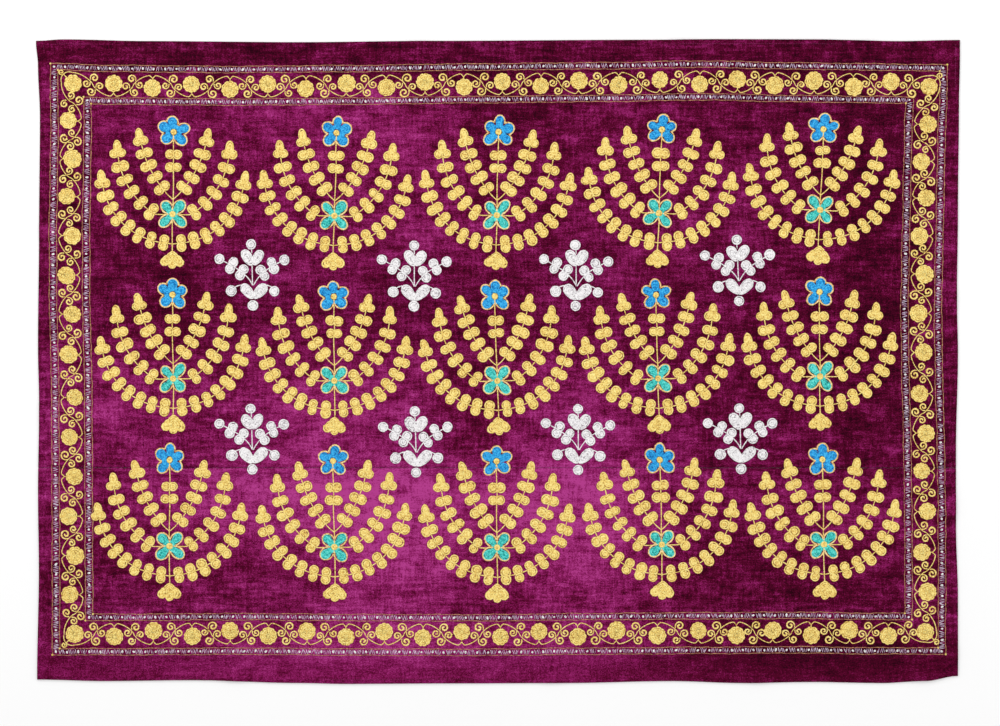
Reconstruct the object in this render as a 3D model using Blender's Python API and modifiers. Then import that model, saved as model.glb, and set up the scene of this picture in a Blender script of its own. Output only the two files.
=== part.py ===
"""A velvet suzani that lies face up: two velvet panels sewn along one seam.

Each panel is a thin sheet with the cloth's uneven edges, its turned hem, the
folded seam allowance and the soft creases in which the cloth lies. Metres,
+Z up. +X runs along the long side, +Y across it, and Z = 0 is the surface
that the cloth lies on.
"""

from collections import namedtuple
from math import cos, radians, sin

import bmesh
import bpy
import numpy as np

# Driving sizes
LENGTH = 2.105  # the long side, over its widest points
WIDTH = 1.469  # the short side, over its widest points
SEAM_Y = -0.2425  # the seam between the two panels
SEAM_GAP = 0.0003
CLOTH = 0.0020  # velvet with its pile
HEM_THICK = 0.0032  # velvet turned under once
HEM = 0.011
HEM_LEFT = 0.018
HEM_STEP = 0.003  # how far the hem takes to fall to the single cloth
SEAM_EDGE_THICK = 0.0016
SEAM_ALLOWANCE = 0.013  # folded under on each side of the seam
SEAM_RISE = 0.004  # from the sunk stitch line up to the doubled cloth
CELL = 0.021  # the sheet's spacing of points

GROUND = (0.162, 0.0075, 0.054, 1.0)
GROUND_ROUGHNESS = 0.85

# Along a side, how far the edge lies inside the widest line there
Edge = namedtuple("Edge", "at inset")
TOP_EDGE = (
    Edge(at=-1.05, inset=0.0040),
    Edge(at=-0.99, inset=0.0005),
    Edge(at=-0.80, inset=0.0045),
    Edge(at=-0.45, inset=0.0070),
    Edge(at=-0.15, inset=0.0040),
    Edge(at=0.35, inset=0.0015),
    Edge(at=0.50, inset=0.0000),
    Edge(at=0.72, inset=0.0005),
    Edge(at=0.92, inset=0.0045),
    Edge(at=1.05, inset=0.0020),
)
BOTTOM_EDGE = (
    Edge(at=-1.05, inset=0.0100),
    Edge(at=-0.90, inset=0.0065),
    Edge(at=-0.70, inset=0.0085),
    Edge(at=-0.45, inset=0.0020),
    Edge(at=-0.35, inset=0.0000),
    Edge(at=-0.10, inset=0.0012),
    Edge(at=0.15, inset=0.0020),
    Edge(at=0.40, inset=0.0065),
    Edge(at=0.56, inset=0.0020),
    Edge(at=0.72, inset=0.0045),
    Edge(at=0.88, inset=0.0020),
    Edge(at=0.98, inset=0.0070),
    Edge(at=1.05, inset=0.0180),
)
LEFT_EDGE = (
    Edge(at=-0.73, inset=0.0025),
    Edge(at=-0.48, inset=0.0065),
    Edge(at=-0.30, inset=0.0045),
    Edge(at=-0.10, inset=0.0070),
    Edge(at=0.04, inset=0.0045),
    Edge(at=0.30, inset=0.0070),
    Edge(at=0.56, inset=0.0090),
    Edge(at=0.68, inset=0.0045),
    Edge(at=0.73, inset=0.0000),
)
RIGHT_EDGE = (
    Edge(at=-0.73, inset=0.0045),
    Edge(at=-0.55, inset=0.0045),
    Edge(at=-0.38, inset=0.0090),
    Edge(at=-0.20, inset=0.0090),
    Edge(at=0.02, inset=0.0045),
    Edge(at=0.14, inset=0.0068),
    Edge(at=0.35, inset=0.0045),
    Edge(at=0.58, inset=0.0022),
    Edge(at=0.70, inset=0.0000),
)

# Soft ridges in which the cloth lies: middle, run in degrees from +X, length,
# half-width and height
Crease = namedtuple("Crease", "x y turn length half height")
CREASES = (
    Crease(x=0.150, y=-0.292, turn=31, length=0.24, half=0.026, height=0.0032),
    Crease(x=0.218, y=-0.205, turn=42, length=0.20, half=0.022, height=0.0026),
    Crease(x=0.335, y=-0.120, turn=-58, length=0.24, half=0.034, height=0.0028),
    Crease(x=0.060, y=-0.215, turn=-80, length=0.16, half=0.022, height=0.0020),
    Crease(x=-0.575, y=-0.480, turn=84, length=0.28, half=0.026, height=0.0030),
    Crease(x=-0.520, y=-0.525, turn=97, length=0.18, half=0.022, height=0.0020),
    Crease(x=-0.600, y=-0.690, turn=86, length=0.15, half=0.030, height=0.0028),
    Crease(x=0.510, y=-0.535, turn=89, length=0.20, half=0.024, height=0.0024),
    Crease(x=0.590, y=-0.695, turn=92, length=0.14, half=0.028, height=0.0028),
    Crease(x=0.120, y=-0.700, turn=88, length=0.12, half=0.034, height=0.0022),
    Crease(x=0.700, y=-0.130, turn=72, length=0.20, half=0.024, height=0.0024),
    Crease(x=0.800, y=-0.215, turn=18, length=0.26, half=0.026, height=0.0026),
    Crease(x=0.205, y=0.548, turn=-33, length=0.24, half=0.034, height=0.0028),
    Crease(x=0.140, y=0.505, turn=-24, length=0.18, half=0.032, height=0.0020),
    Crease(x=0.565, y=0.375, turn=8, length=0.28, half=0.026, height=0.0024),
    Crease(x=-0.330, y=0.560, turn=4, length=0.34, half=0.028, height=0.0024),
    Crease(x=-0.700, y=0.235, turn=-8, length=0.30, half=0.028, height=0.0024),
    Crease(x=-0.180, y=0.700, turn=88, length=0.12, half=0.032, height=0.0024),
    Crease(x=0.420, y=0.700, turn=92, length=0.12, half=0.034, height=0.0026),
    Crease(x=0.840, y=0.700, turn=95, length=0.12, half=0.030, height=0.0022),
    Crease(x=-1.010, y=0.300, turn=3, length=0.14, half=0.030, height=0.0024),
    Crease(x=-1.015, y=-0.120, turn=-5, length=0.12, half=0.030, height=0.0020),
    Crease(x=1.015, y=-0.330, turn=-4, length=0.13, half=0.030, height=0.0026),
    Crease(x=1.015, y=0.140, turn=6, length=0.12, half=0.032, height=0.0022),
    Crease(x=0.995, y=-0.690, turn=44, length=0.18, half=0.030, height=0.0036),
)
FLAT_BELOW = 0.0003  # the last trace of a crease lies flat again


def clear_scene():
    """Remove every object that is already in the scene."""
    for old in list(bpy.data.objects):
        bpy.data.objects.remove(old, do_unlink=True)


def collection_named(name):
    """Return a new collection of that name, linked to the scene."""
    made = bpy.data.collections.new(name)
    bpy.context.scene.collection.children.link(made)
    return made


def velvet():
    """Return the velvet's plain material."""
    made = bpy.data.materials.new("velvet")
    made.use_nodes = True
    shader = made.node_tree.nodes["Principled BSDF"]
    shader.inputs["Base Color"].default_value = GROUND
    shader.inputs["Roughness"].default_value = GROUND_ROUGHNESS
    shader.inputs["Metallic"].default_value = 0.0
    return made


def ease(part):
    """Return 0 to 1 for 0 to 1, level at both ends."""
    part = np.clip(part, 0.0, 1.0)
    return part * part * (3.0 - 2.0 * part)


def inset(edge, at):
    """Return how far an edge lies in at each place, easing between its rows."""
    places = np.array([row.at for row in edge])
    depths = np.array([row.inset for row in edge])
    right = np.clip(np.searchsorted(places, at), 1, len(places) - 1)
    left = right - 1
    part = (at - places[left]) / (places[right] - places[left])
    return depths[left] + (depths[right] - depths[left]) * ease(part)


def lie(x, y):
    """Return the height of the cloth's underside over the surface.

    Each crease is a bell across its run, fading out towards both its ends.
    The tallest one at a point counts, so that crossings don't pile up.
    """
    height = np.zeros_like(x)
    for row in CREASES:
        turn = radians(row.turn)
        along = (x - row.x) * cos(turn) + (y - row.y) * sin(turn)
        across = (y - row.y) * cos(turn) - (x - row.x) * sin(turn)
        fade = ease((row.length / 2 - np.abs(along)) / (row.length / 3))
        bell = row.height * np.exp(-((across / row.half) ** 2)) * fade
        height = np.maximum(height, bell)
    return np.maximum(height - FLAT_BELOW, 0.0)


def stations(start, end, near_start, near_end):
    """Return places from start to end: the given ones near both, even ones between."""
    first = start + near_start[-1]
    last = end - near_end[-1]
    count = round((last - first) / CELL)
    between = np.linspace(first, last, count + 1)
    return np.concatenate([start + near_start[:-1], between, end - near_end[-2::-1]])


def hem_places(hem):
    """Return the distances from an edge at which its hem needs points."""
    return np.array([0.0, hem, hem + HEM_STEP])


def seam_places():
    """Return the distances from the seam at which the folded allowance needs points."""
    return np.array([0.0, SEAM_RISE, SEAM_ALLOWANCE, SEAM_ALLOWANCE + HEM_STEP])


def thickness(x, y, low, high):
    """Return the cloth's thickness: doubled at the hem and along the seam.

    x and y are the flat places before the edges are drawn in, and low and
    high say whether the panel ends in a hem there or in the seam.
    """
    half_length = LENGTH / 2
    half_width = WIDTH / 2
    hem = np.maximum(
        ease((HEM_LEFT + HEM_STEP - (x + half_length)) / HEM_STEP),
        ease((HEM + HEM_STEP - (half_length - x)) / HEM_STEP),
    )
    if low == "hem":
        hem = np.maximum(hem, ease((HEM + HEM_STEP - (y + half_width)) / HEM_STEP))
    if high == "hem":
        hem = np.maximum(hem, ease((HEM + HEM_STEP - (half_width - y)) / HEM_STEP))
    from_seam = np.abs(y - SEAM_Y)
    fold = ease((SEAM_ALLOWANCE + HEM_STEP - from_seam) / HEM_STEP)
    thick = CLOTH + (HEM_THICK - CLOTH) * np.maximum(hem, fold)
    sunk = 1.0 - ease(from_seam / SEAM_RISE)
    return thick + (SEAM_EDGE_THICK - thick) * sunk


def panel(name, y_low, y_high, low, high, material, collection):
    """Make one panel: a grid laid on its outline and creases, given its thickness."""
    places = {"hem": hem_places(HEM), "seam": seam_places()}
    across = stations(y_low, y_high, places[low], places[high])
    along = stations(-LENGTH / 2, LENGTH / 2, hem_places(HEM_LEFT), hem_places(HEM))

    mesh = bpy.data.meshes.new(name)
    sheet = bmesh.new()
    bmesh.ops.create_grid(
        sheet, x_segments=len(along) - 1, y_segments=len(across) - 1, size=0.5
    )
    sheet.to_mesh(mesh)
    sheet.free()

    # The unit grid's points, moved to the flat places that they stand for
    points = np.zeros(len(mesh.vertices) * 3)
    mesh.vertices.foreach_get("co", points)
    points = points.reshape(-1, 3)
    column = np.round((points[:, 0] + 0.5) * (len(along) - 1)).astype(int)
    line = np.round((points[:, 1] + 0.5) * (len(across) - 1)).astype(int)
    flat_x = along[column]
    flat_y = across[line]

    # The edges draw the sheet in, less and less towards the far side
    right_share = (flat_x + LENGTH / 2) / LENGTH
    outer_share = np.abs(flat_y - SEAM_Y) / max(abs(y_low - SEAM_Y), abs(y_high - SEAM_Y))
    x = flat_x + inset(LEFT_EDGE, flat_y) * (1.0 - right_share)
    x = x - inset(RIGHT_EDGE, flat_y) * right_share
    if high == "hem":
        y = flat_y - inset(TOP_EDGE, flat_x) * outer_share
    else:
        y = flat_y + inset(BOTTOM_EDGE, flat_x) * outer_share
    points[:, 0] = x
    points[:, 1] = y
    points[:, 2] = lie(x, y)
    mesh.vertices.foreach_set("co", points.ravel())
    mesh.update()

    made = bpy.data.objects.new(name, mesh)
    collection.objects.link(made)
    made.data.materials.append(material)
    share = thickness(flat_x, flat_y, low, high) / HEM_THICK
    group = made.vertex_groups.new(name="thickness")
    for index, weight in enumerate(share):
        group.add([index], float(weight), "REPLACE")
    solid = made.modifiers.new("cloth", "SOLIDIFY")
    solid.thickness = HEM_THICK
    solid.offset = 1.0
    solid.vertex_group = group.name
    mesh.shade_smooth()
    return made


def main():
    """Build the two panels of the cloth."""
    clear_scene()
    cloth = collection_named("suzani_textile")
    material = velvet()
    half_width = WIDTH / 2
    above = SEAM_Y + SEAM_GAP / 2
    below = SEAM_Y - SEAM_GAP / 2
    panel("velvet_upper", above, half_width, "seam", "hem", material, cloth)
    panel("velvet_lower", -half_width, below, "hem", "seam", material, cloth)


main()
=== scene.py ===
"""Dresses the velvet suzani: two velvet panels, the chain stitch worked on them, and a studio.

Metres, +Z up. +X runs along the cloth's long side and +Y across it. The sewing is
laid out flat first, then moved with the cloth as it lies and is drawn in.
"""

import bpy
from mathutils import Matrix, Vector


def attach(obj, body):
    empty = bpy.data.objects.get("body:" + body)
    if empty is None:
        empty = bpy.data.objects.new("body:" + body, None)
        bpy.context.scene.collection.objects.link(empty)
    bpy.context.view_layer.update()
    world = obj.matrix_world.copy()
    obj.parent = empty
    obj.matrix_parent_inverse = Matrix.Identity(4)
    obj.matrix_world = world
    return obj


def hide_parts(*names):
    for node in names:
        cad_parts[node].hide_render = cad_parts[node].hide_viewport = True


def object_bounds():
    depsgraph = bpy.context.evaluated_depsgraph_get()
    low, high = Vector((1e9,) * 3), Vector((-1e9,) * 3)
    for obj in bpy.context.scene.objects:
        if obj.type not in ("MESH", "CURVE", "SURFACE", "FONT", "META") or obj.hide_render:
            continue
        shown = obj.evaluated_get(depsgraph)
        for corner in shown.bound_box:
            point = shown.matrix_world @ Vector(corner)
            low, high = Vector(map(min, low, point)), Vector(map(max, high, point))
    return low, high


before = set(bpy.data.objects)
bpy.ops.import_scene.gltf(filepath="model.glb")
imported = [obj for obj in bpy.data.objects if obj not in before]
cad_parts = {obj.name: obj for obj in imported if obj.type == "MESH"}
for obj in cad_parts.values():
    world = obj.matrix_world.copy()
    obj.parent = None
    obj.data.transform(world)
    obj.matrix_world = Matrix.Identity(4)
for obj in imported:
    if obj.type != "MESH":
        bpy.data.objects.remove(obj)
CAD_BOX = [[float(value) for value in corner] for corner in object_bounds()]

import logging
from collections.abc import Callable, Sequence
from dataclasses import dataclass, field
from enum import Enum
from typing import Any

import bpy
import numpy as np

LOG = logging.getLogger("suzani")
MM = 0.001
FULL_TURN = 2.0 * np.pi
Array = np.ndarray
Colour = tuple[float, float, float]
Table = Sequence[tuple[float, float]]


def ease(part: Array | float) -> Array:
    """Return 0 to 1 for 0 to 1, level at both ends: 3t^2 - 2t^3."""
    part = np.clip(part, 0.0, 1.0)
    return part * part * (3.0 - 2.0 * part)


def linear(red: int, green: int, blue: int) -> Colour:
    """Return a screen colour of 0 to 255 as the linear colour that a shader takes."""
    share = np.array([red, green, blue]) / 255.0
    low = share / 12.92
    high = ((share + 0.055) / 1.055) ** 2.4
    return tuple(float(value) for value in np.where(share <= 0.04045, low, high))


def read_along(rows: Table, at: Array) -> Array:
    """Read a table along a side at any place, easing from one row to the next.

    Args:
        rows: a place and the value there for each row, in mm and in order of place.
        at: places along the side, in metres.

    Returns:
        The value at each place, in metres.
    """
    places, values = np.array(rows).T * MM
    after = np.clip(np.searchsorted(places, at), 1, len(places) - 1)
    before = after - 1
    part = (at - places[before]) / (places[after] - places[before])
    return values[before] + (values[after] - values[before]) * ease(part)


@dataclass(frozen=True)
class Sides:
    """Four tables, one along each side of the cloth, in mm."""

    top: Table
    bottom: Table
    left: Table
    right: Table


# How far the hem lies inside the cloth's widest lines
EDGES = Sides(
    top=(
        (-1050, 4.0), (-990, 0.5), (-800, 4.5), (-450, 7.0), (-150, 4.0), (350, 1.5), (500, 0.0),
        (720, 0.5), (920, 4.5), (1050, 2.0),
    ),
    bottom=(
        (-1050, 10.0), (-900, 6.5), (-700, 8.5), (-450, 2.0), (-350, 0.0), (-100, 1.2), (150, 2.0),
        (400, 6.5), (560, 2.0), (720, 4.5), (880, 2.0), (980, 7.0), (1050, 18.0),
    ),
    left=(
        (-730, 2.5), (-480, 6.5), (-300, 4.5), (-100, 7.0), (40, 4.5), (300, 7.0), (560, 9.0),
        (680, 4.5), (730, 0.0),
    ),
    right=(
        (-730, 4.5), (-550, 4.5), (-380, 9.0), (-200, 9.0), (20, 4.5), (140, 6.8), (350, 4.5),
        (580, 2.2), (700, 0.0),
    ),
)

# How far the sewn border strays from straight, up on the level sides and right on the others
STRAY = Sides(
    top=(
        (-1000, 0.5), (-872, -3.6), (-600, -5.7), (-325, -3.6), (-52, 0.0), (221, 2.7), (460, 6.5),
        (677, 2.2), (859, 0.0), (984, -2.0),
    ),
    bottom=(
        (-872, -1.5), (-600, 0.0), (-325, -2.2), (-52, -2.8), (221, 0.0), (494, 1.8), (677, 3.0),
        (859, 0.5),
    ),
    left=(
        (-590, 3.4), (-429, 3.0), (-190, 2.2), (-31, 1.1), (129, -3.2), (288, -3.6), (527, -0.3),
        (680, -1.0),
    ),
    right=(
        (-634, 3.0), (-509, 3.9), (-350, 3.2), (-190, 0.8), (-31, -3.3), (129, -5.7), (208, -3.8),
        (368, -0.4), (527, 3.0), (607, 7.0),
    ),
)

# How far the border's rosettes have slipped along their side, right or up
SLIP = Sides(
    top=(
        (-973, 4.0), (-885, 9.5), (-708, 11.0), (-443, 5.5), (-267, 10.5), (86, 8.5), (174, 5.0),
        (439, 15.5), (616, 9.0), (792, 10.5), (969, 6.0),
    ),
    bottom=(
        (-973, 6.0), (-796, 8.0), (-443, 5.5), (86, 4.0), (263, 3.5), (439, 14.0), (527, 12.5),
        (616, 6.5), (881, 5.5), (969, 2.0),
    ),
    left=(
        (-619, 0.0), (-440, 0.0), (-83, 2.0), (6, 9.5), (95, 13.0), (363, 12.5), (542, 6.0), (631, 2.5),
    ),
    right=(
        (-619, 4.5), (-440, 6.0), (-262, 12.5), (-128, 9.0), (6, 15.0), (185, 16.0), (363, 10.0),
        (542, 0.0), (631, -3.5),
    ),
)


@dataclass(frozen=True)
class Crease:
    """A soft ridge: its middle, its run in degrees from +X, length, half-width and height, in mm."""

    x: float
    y: float
    turn: float
    length: float
    half: float
    height: float


CREASES = tuple(Crease(*row) for row in (
    (150, -292, 31, 240, 26, 3.2), (218, -205, 42, 200, 22, 2.6), (335, -120, -58, 240, 34, 2.8),
    (60, -215, -80, 160, 22, 2.0), (-575, -480, 84, 280, 26, 3.0), (-520, -525, 97, 180, 22, 2.0),
    (-600, -690, 86, 150, 30, 2.8), (510, -535, 89, 200, 24, 2.4), (590, -695, 92, 140, 28, 2.8),
    (120, -700, 88, 120, 34, 2.2), (700, -130, 72, 200, 24, 2.4), (800, -215, 18, 260, 26, 2.6),
    (205, 548, -33, 240, 34, 2.8), (140, 505, -24, 180, 32, 2.0), (565, 375, 8, 280, 26, 2.4),
    (-330, 560, 4, 340, 28, 2.4), (-700, 235, -8, 300, 28, 2.4), (-180, 700, 88, 120, 32, 2.4),
    (420, 700, 92, 120, 34, 2.6), (840, 700, 95, 120, 30, 2.2), (-1010, 300, 3, 140, 30, 2.4),
    (-1015, -120, -5, 120, 30, 2.0), (1015, -330, -4, 130, 30, 2.6), (1015, 140, 6, 120, 32, 2.2),
    (995, -690, 44, 180, 30, 3.6),
))


@dataclass(frozen=True)
class Cloth:
    """How the velvet lies: its outline, its thickness, its creases, and how the sewing strays."""

    length: float = CAD_BOX[1][0] - CAD_BOX[0][0]
    width: float = CAD_BOX[1][1] - CAD_BOX[0][1]
    seam_y: float = -242.5 * MM
    seam_gap: float = 0.3 * MM
    velvet: float = 2.0 * MM
    doubled: float = 3.2 * MM
    seam_edge: float = 1.2 * MM
    hem: float = 11.0 * MM
    hem_left: float = 18.0 * MM
    step: float = 3.0 * MM
    allowance: float = 13.0 * MM
    seam_rise: float = 4.0 * MM
    flat_below: float = 0.3 * MM

    def lie(self, x: Array, y: Array) -> Array:
        """Return the underside's height: each crease is a bell across its run that fades
        towards its ends, and the tallest crease at a point counts.

        Args:
            x: places along the cloth.
            y: places across it.

        Returns:
            Heights over the surface that the cloth lies on.
        """
        height = np.zeros(np.broadcast(x, y).shape)
        for row in CREASES:
            turn = np.radians(row.turn)
            off_x = x - row.x * MM
            off_y = y - row.y * MM
            along = off_x * np.cos(turn) + off_y * np.sin(turn)
            across = off_y * np.cos(turn) - off_x * np.sin(turn)
            fade = ease((row.length * MM / 2 - np.abs(along)) / (row.length * MM / 3))
            bell = row.height * MM * np.exp(-((across / (row.half * MM)) ** 2)) * fade
            height = np.maximum(height, bell)
        return np.maximum(height - self.flat_below, 0.0)

    def thickness(self, x: Array, y: Array) -> Array:
        """Return the thickness at flat places: doubled where it is turned under, sunk at the seam.

        Args:
            x: flat places along the cloth.
            y: flat places across it.

        Returns:
            The velvet's thickness there.
        """
        half_length = self.length / 2
        half_width = self.width / 2
        in_left = self.hem_left + self.step - (x + half_length)
        in_right = self.hem + self.step - (half_length - x)
        in_ends = self.hem + self.step - (half_width - np.abs(y))
        from_seam = np.abs(y - self.seam_y)
        in_fold = self.allowance + self.step - from_seam
        inside = np.maximum(np.maximum(in_left, in_right), np.maximum(in_ends, in_fold))
        thick = self.velvet + (self.doubled - self.velvet) * ease(inside / self.step)
        sunk = 1.0 - ease(from_seam / self.seam_rise)
        return thick + (self.seam_edge - thick) * sunk

    def top(self, x: Array, y: Array) -> Array:
        """Return the height of the pile's face at each place."""
        return self.lie(x, y) + self.thickness(x, y)

    def pull(self, x: Array, y: Array) -> Array:
        """Return how far the uneven ends of the cloth move its flat places along it."""
        to_right = x / self.length + 0.5
        return read_along(EDGES.left, y) * (1 - to_right) - read_along(EDGES.right, y) * to_right

    def drawn(self, flat: Array) -> Array:
        """Move flat points of the sewing as the cloth has strayed: each side's stray
        counts fully along that side and fades evenly to the side across.

        Args:
            flat: points (n, 2) laid out flat.

        Returns:
            The points (n, 2) where they lie.
        """
        x = flat[:, 0]
        y = flat[:, 1]
        to_right = ease(x / self.length + 0.5)
        to_top = ease(y / self.width + 0.5)
        shift_x = read_along(STRAY.left, y) * (1 - to_right) + read_along(STRAY.right, y) * to_right
        shift_y = read_along(STRAY.bottom, x) * (1 - to_top) + read_along(STRAY.top, x) * to_top
        return np.column_stack([x + shift_x, y + shift_y])


CLOTH = Cloth()


def maths(operation: str, swapped: bool = False) -> Callable[..., "Signal"]:
    """Return a method of a signal for one kind of Math node.

    Args:
        operation: what the node does.
        swapped: whether its two values change places.

    Returns:
        The method.
    """

    def method(*values: Any) -> "Signal":
        """Add the node on these values, the signal first, and return its result."""
        links = dict(enumerate(values[::-1] if swapped else values))
        return values[0].board.add("ShaderNodeMath", {"operation": operation}, links)["Value"]

    return method


class Signal:
    """A number socket of a shader that takes part in Python expressions."""

    __add__ = __radd__ = maths("ADD")
    __sub__ = maths("SUBTRACT")
    __rsub__ = maths("SUBTRACT", swapped=True)
    __mul__ = __rmul__ = maths("MULTIPLY")
    __pow__ = maths("POWER")
    fraction = maths("FRACT")
    size = maths("ABSOLUTE")
    sine = maths("SINE")

    def __init__(self, board: "Board", socket: bpy.types.NodeSocket) -> None:
        """Keep the board that new nodes go on, and the socket itself."""
        self.board = board
        self.socket = socket

    def between(self, low: float, high: float) -> "Signal":
        """Return 0 at low and 1 at high, eased between them and level outside."""
        made = self.board.add(
            "ShaderNodeMapRange",
            {"interpolation_type": "SMOOTHSTEP"},
            {"Value": self, "From Min": low, "From Max": high},
        )
        return made["Result"]


class Outputs:
    """The outputs of one node, read by name as signals."""

    def __init__(self, board: "Board", node: bpy.types.Node) -> None:
        """Keep the node whose outputs these are."""
        self.board = board
        self.node = node

    def __getitem__(self, name: str) -> Signal:
        """Return the enabled output of that name."""
        found = [o for o in self.node.outputs if o.enabled and o.name == name]
        return Signal(self.board, found[0])


class Board:
    """The node tree of one material."""

    def __init__(self, name: str) -> None:
        """Make a material with nothing but a Principled shader on it."""
        self.material = bpy.data.materials.new(name)
        self.material.use_nodes = True
        self.tree = self.material.node_tree
        self.shader = self.tree.nodes["Principled BSDF"]

    def add(self, kind: str, settings: dict[str, Any], values: dict[Any, Any]) -> Outputs:
        """Add any node.

        Args:
            kind: the node's type name.
            settings: what is set on the node first; "stops" fills a ramp with
                (place, colour) rows.
            values: what each input socket holds or is linked to, by name or number.

        Returns:
            The node's outputs.
        """
        node = self.tree.nodes.new(kind)
        for name, value in settings.items():
            if name == "stops":
                self._fill_ramp(node.color_ramp, value)
            else:
                setattr(node, name, value)
        self.feed(node, values)
        return Outputs(self, node)

    def _fill_ramp(self, ramp: bpy.types.ColorRamp, stops: Sequence[tuple[float, Colour]]) -> None:
        """Give a ramp these stops and no others."""
        while len(ramp.elements) < len(stops):
            ramp.elements.new(1.0)
        for element, (place, colour) in zip(ramp.elements, stops):
            element.position = place
            element.color = (*colour, 1.0)

    def feed(self, node: bpy.types.Node, values: dict[Any, Any]) -> None:
        """Set or link a node's inputs; a colour of three numbers gets its alpha.

        Args:
            node: the node whose inputs are fed.
            values: a number, a colour, a vector or a Signal for each socket.
        """
        for name, value in values.items():
            if isinstance(name, int):
                socket = node.inputs[name]
            else:
                socket = next(s for s in node.inputs if s.enabled and s.name == name)
            if isinstance(value, Signal):
                self.tree.links.new(value.socket, socket)
            elif socket.type == "RGBA" and len(value) == 3:
                socket.default_value = (*value, 1.0)
            else:
                socket.default_value = value

    def place(self) -> Signal:
        """Return the object coordinates, in metres."""
        return self.add("ShaderNodeTexCoord", {}, {})["Object"]

    def scaled(self, vector: Signal, by: Sequence[float]) -> Signal:
        """Return a vector scaled axis by axis."""
        made = self.add("ShaderNodeVectorMath", {"operation": "MULTIPLY"}, {0: vector, 1: tuple(by)})
        return made["Vector"]

    def noise(self, vector: Signal, scale: float, detail: float = 2.0, rough: float = 0.5) -> Signal:
        """Return smooth noise about 0.5 with this many lumps a metre."""
        values = {"Vector": vector, "Scale": scale, "Detail": detail, "Roughness": rough}
        return self.add("ShaderNodeTexNoise", {}, values)["Fac"]

    def attribute(self, name: str) -> Signal:
        """Return a number stored on the mesh's points."""
        return self.add("ShaderNodeAttribute", {"attribute_name": name}, {})["Fac"]

    def ramp(self, stops: Sequence[tuple[float, Colour]], at: Signal) -> Signal:
        """Return the colour of a ramp at a place from 0 to 1."""
        return self.add("ShaderNodeValToRGB", {"stops": stops}, {"Fac": at})["Color"]

    def mix(self, share: Any, first: Any, second: Any) -> Signal:
        """Return the first colour at share 0 and the second at 1."""
        values = {"Factor": share, "A": first, "B": second}
        settings = {"data_type": "RGBA", "clamp_factor": True}
        return self.add("ShaderNodeMix", settings, values)["Result"]

    def bump(self, height: Signal, depth: float) -> Signal:
        """Return a normal raised by height 0 to 1 times depth in metres."""
        values = {"Height": height, "Distance": depth, "Strength": 1.0}
        return self.add("ShaderNodeBump", {}, values)["Normal"]

    def finish(self, **values: Any) -> bpy.types.Material:
        """Feed the shader's sockets, named with _ for each space, and return the material."""
        self.feed(self.shader, {name.replace("_", " "): value for name, value in values.items()})
        return self.material


@dataclass(frozen=True)
class Mottle:
    """Noise in the pile: lumps a metre along each axis, octaves, roughness, and its weight."""

    lumps: tuple[float, float, float]
    detail: float
    rough: float
    weight: float

    def noise(self, board: Board, place: Signal) -> Signal:
        """Return the noise on a board, about 0.5."""
        return board.noise(board.scaled(place, self.lumps), 1.0, self.detail, self.rough)


@dataclass(frozen=True)
class VelvetFinish:
    """The pile, with painted sheen: wine where it turns away from the light, magenta where it catches the
    light.
    """

    stops: tuple[tuple[float, Colour], ...] = (
        (0.0, linear(36, 0, 14)), (0.38, linear(84, 3, 38)),
        (0.70, linear(136, 26, 92)), (1.0, linear(176, 60, 136)),
    )
    weft: Mottle = Mottle((15.0, 140.0, 30.0), 2.0, 0.6, 0.66)
    warp: Mottle = Mottle((150.0, 20.0, 30.0), 2.0, 0.6, 0.55)
    clouds: Mottle = Mottle((13.0, 22.0, 18.0), 6.0, 0.82, 1.65)
    grain: Mottle = Mottle((340.0, 460.0, 400.0), 1.0, 0.6, 1.1)
    pressed: tuple[float, float] = (-675.0 * MM, -635.0 * MM)
    pressed_share: float = 0.6
    pile_depth: float = 0.6 * MM
    roughness: float = 0.95
    gloss: float = 0.05
    sheen: float = 0.04
    sheen_roughness: float = 0.4
    sheen_tint: Colour = linear(214, 120, 180)

    def material(self) -> bpy.types.Material:
        """Mix four velvet colours by a tone: the mesh's broad patches of painted sheen, lighter where
        the pile catches the light and darker where it turns away, fine streaks along the weft and
        the warp, mottled clouds and a grain, added up and read through a ramp.
        Streaks and clouds are weaker on the pressed lower margin.

        Returns:
            The pile's material.
        """
        board = Board("velvet_pile")
        place = board.place()
        weft = self.weft.noise(board, place)
        warp = self.warp.noise(board, place)
        clouds = self.clouds.noise(board, place)
        grain = self.grain.noise(board, place)
        height = board.add("ShaderNodeSeparateXYZ", {}, {"Vector": place})["Y"]
        open_pile = height.between(*self.pressed) * (1 - self.pressed_share) + self.pressed_share
        streaks = (weft - 0.5) * self.weft.weight + (warp - 0.5) * self.warp.weight
        brushed = (streaks + (clouds - 0.5) * self.clouds.weight) * open_pile
        # The mesh's tone is painted sheen: lighter where the pile catches the light, darker where it turns
        # away
        tone = board.attribute("painted_sheen") + brushed + (grain - 0.5) * self.grain.weight
        return board.finish(
            Base_Color=board.ramp(self.stops, tone),
            Roughness=self.roughness,
            Normal=board.bump(grain * 0.5 + clouds * 0.5, self.pile_depth),
            Sheen_Weight=self.sheen,
            Sheen_Roughness=self.sheen_roughness,
            Sheen_Tint=self.sheen_tint,
            Specular_IOR_Level=self.gloss,
        )


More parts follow.
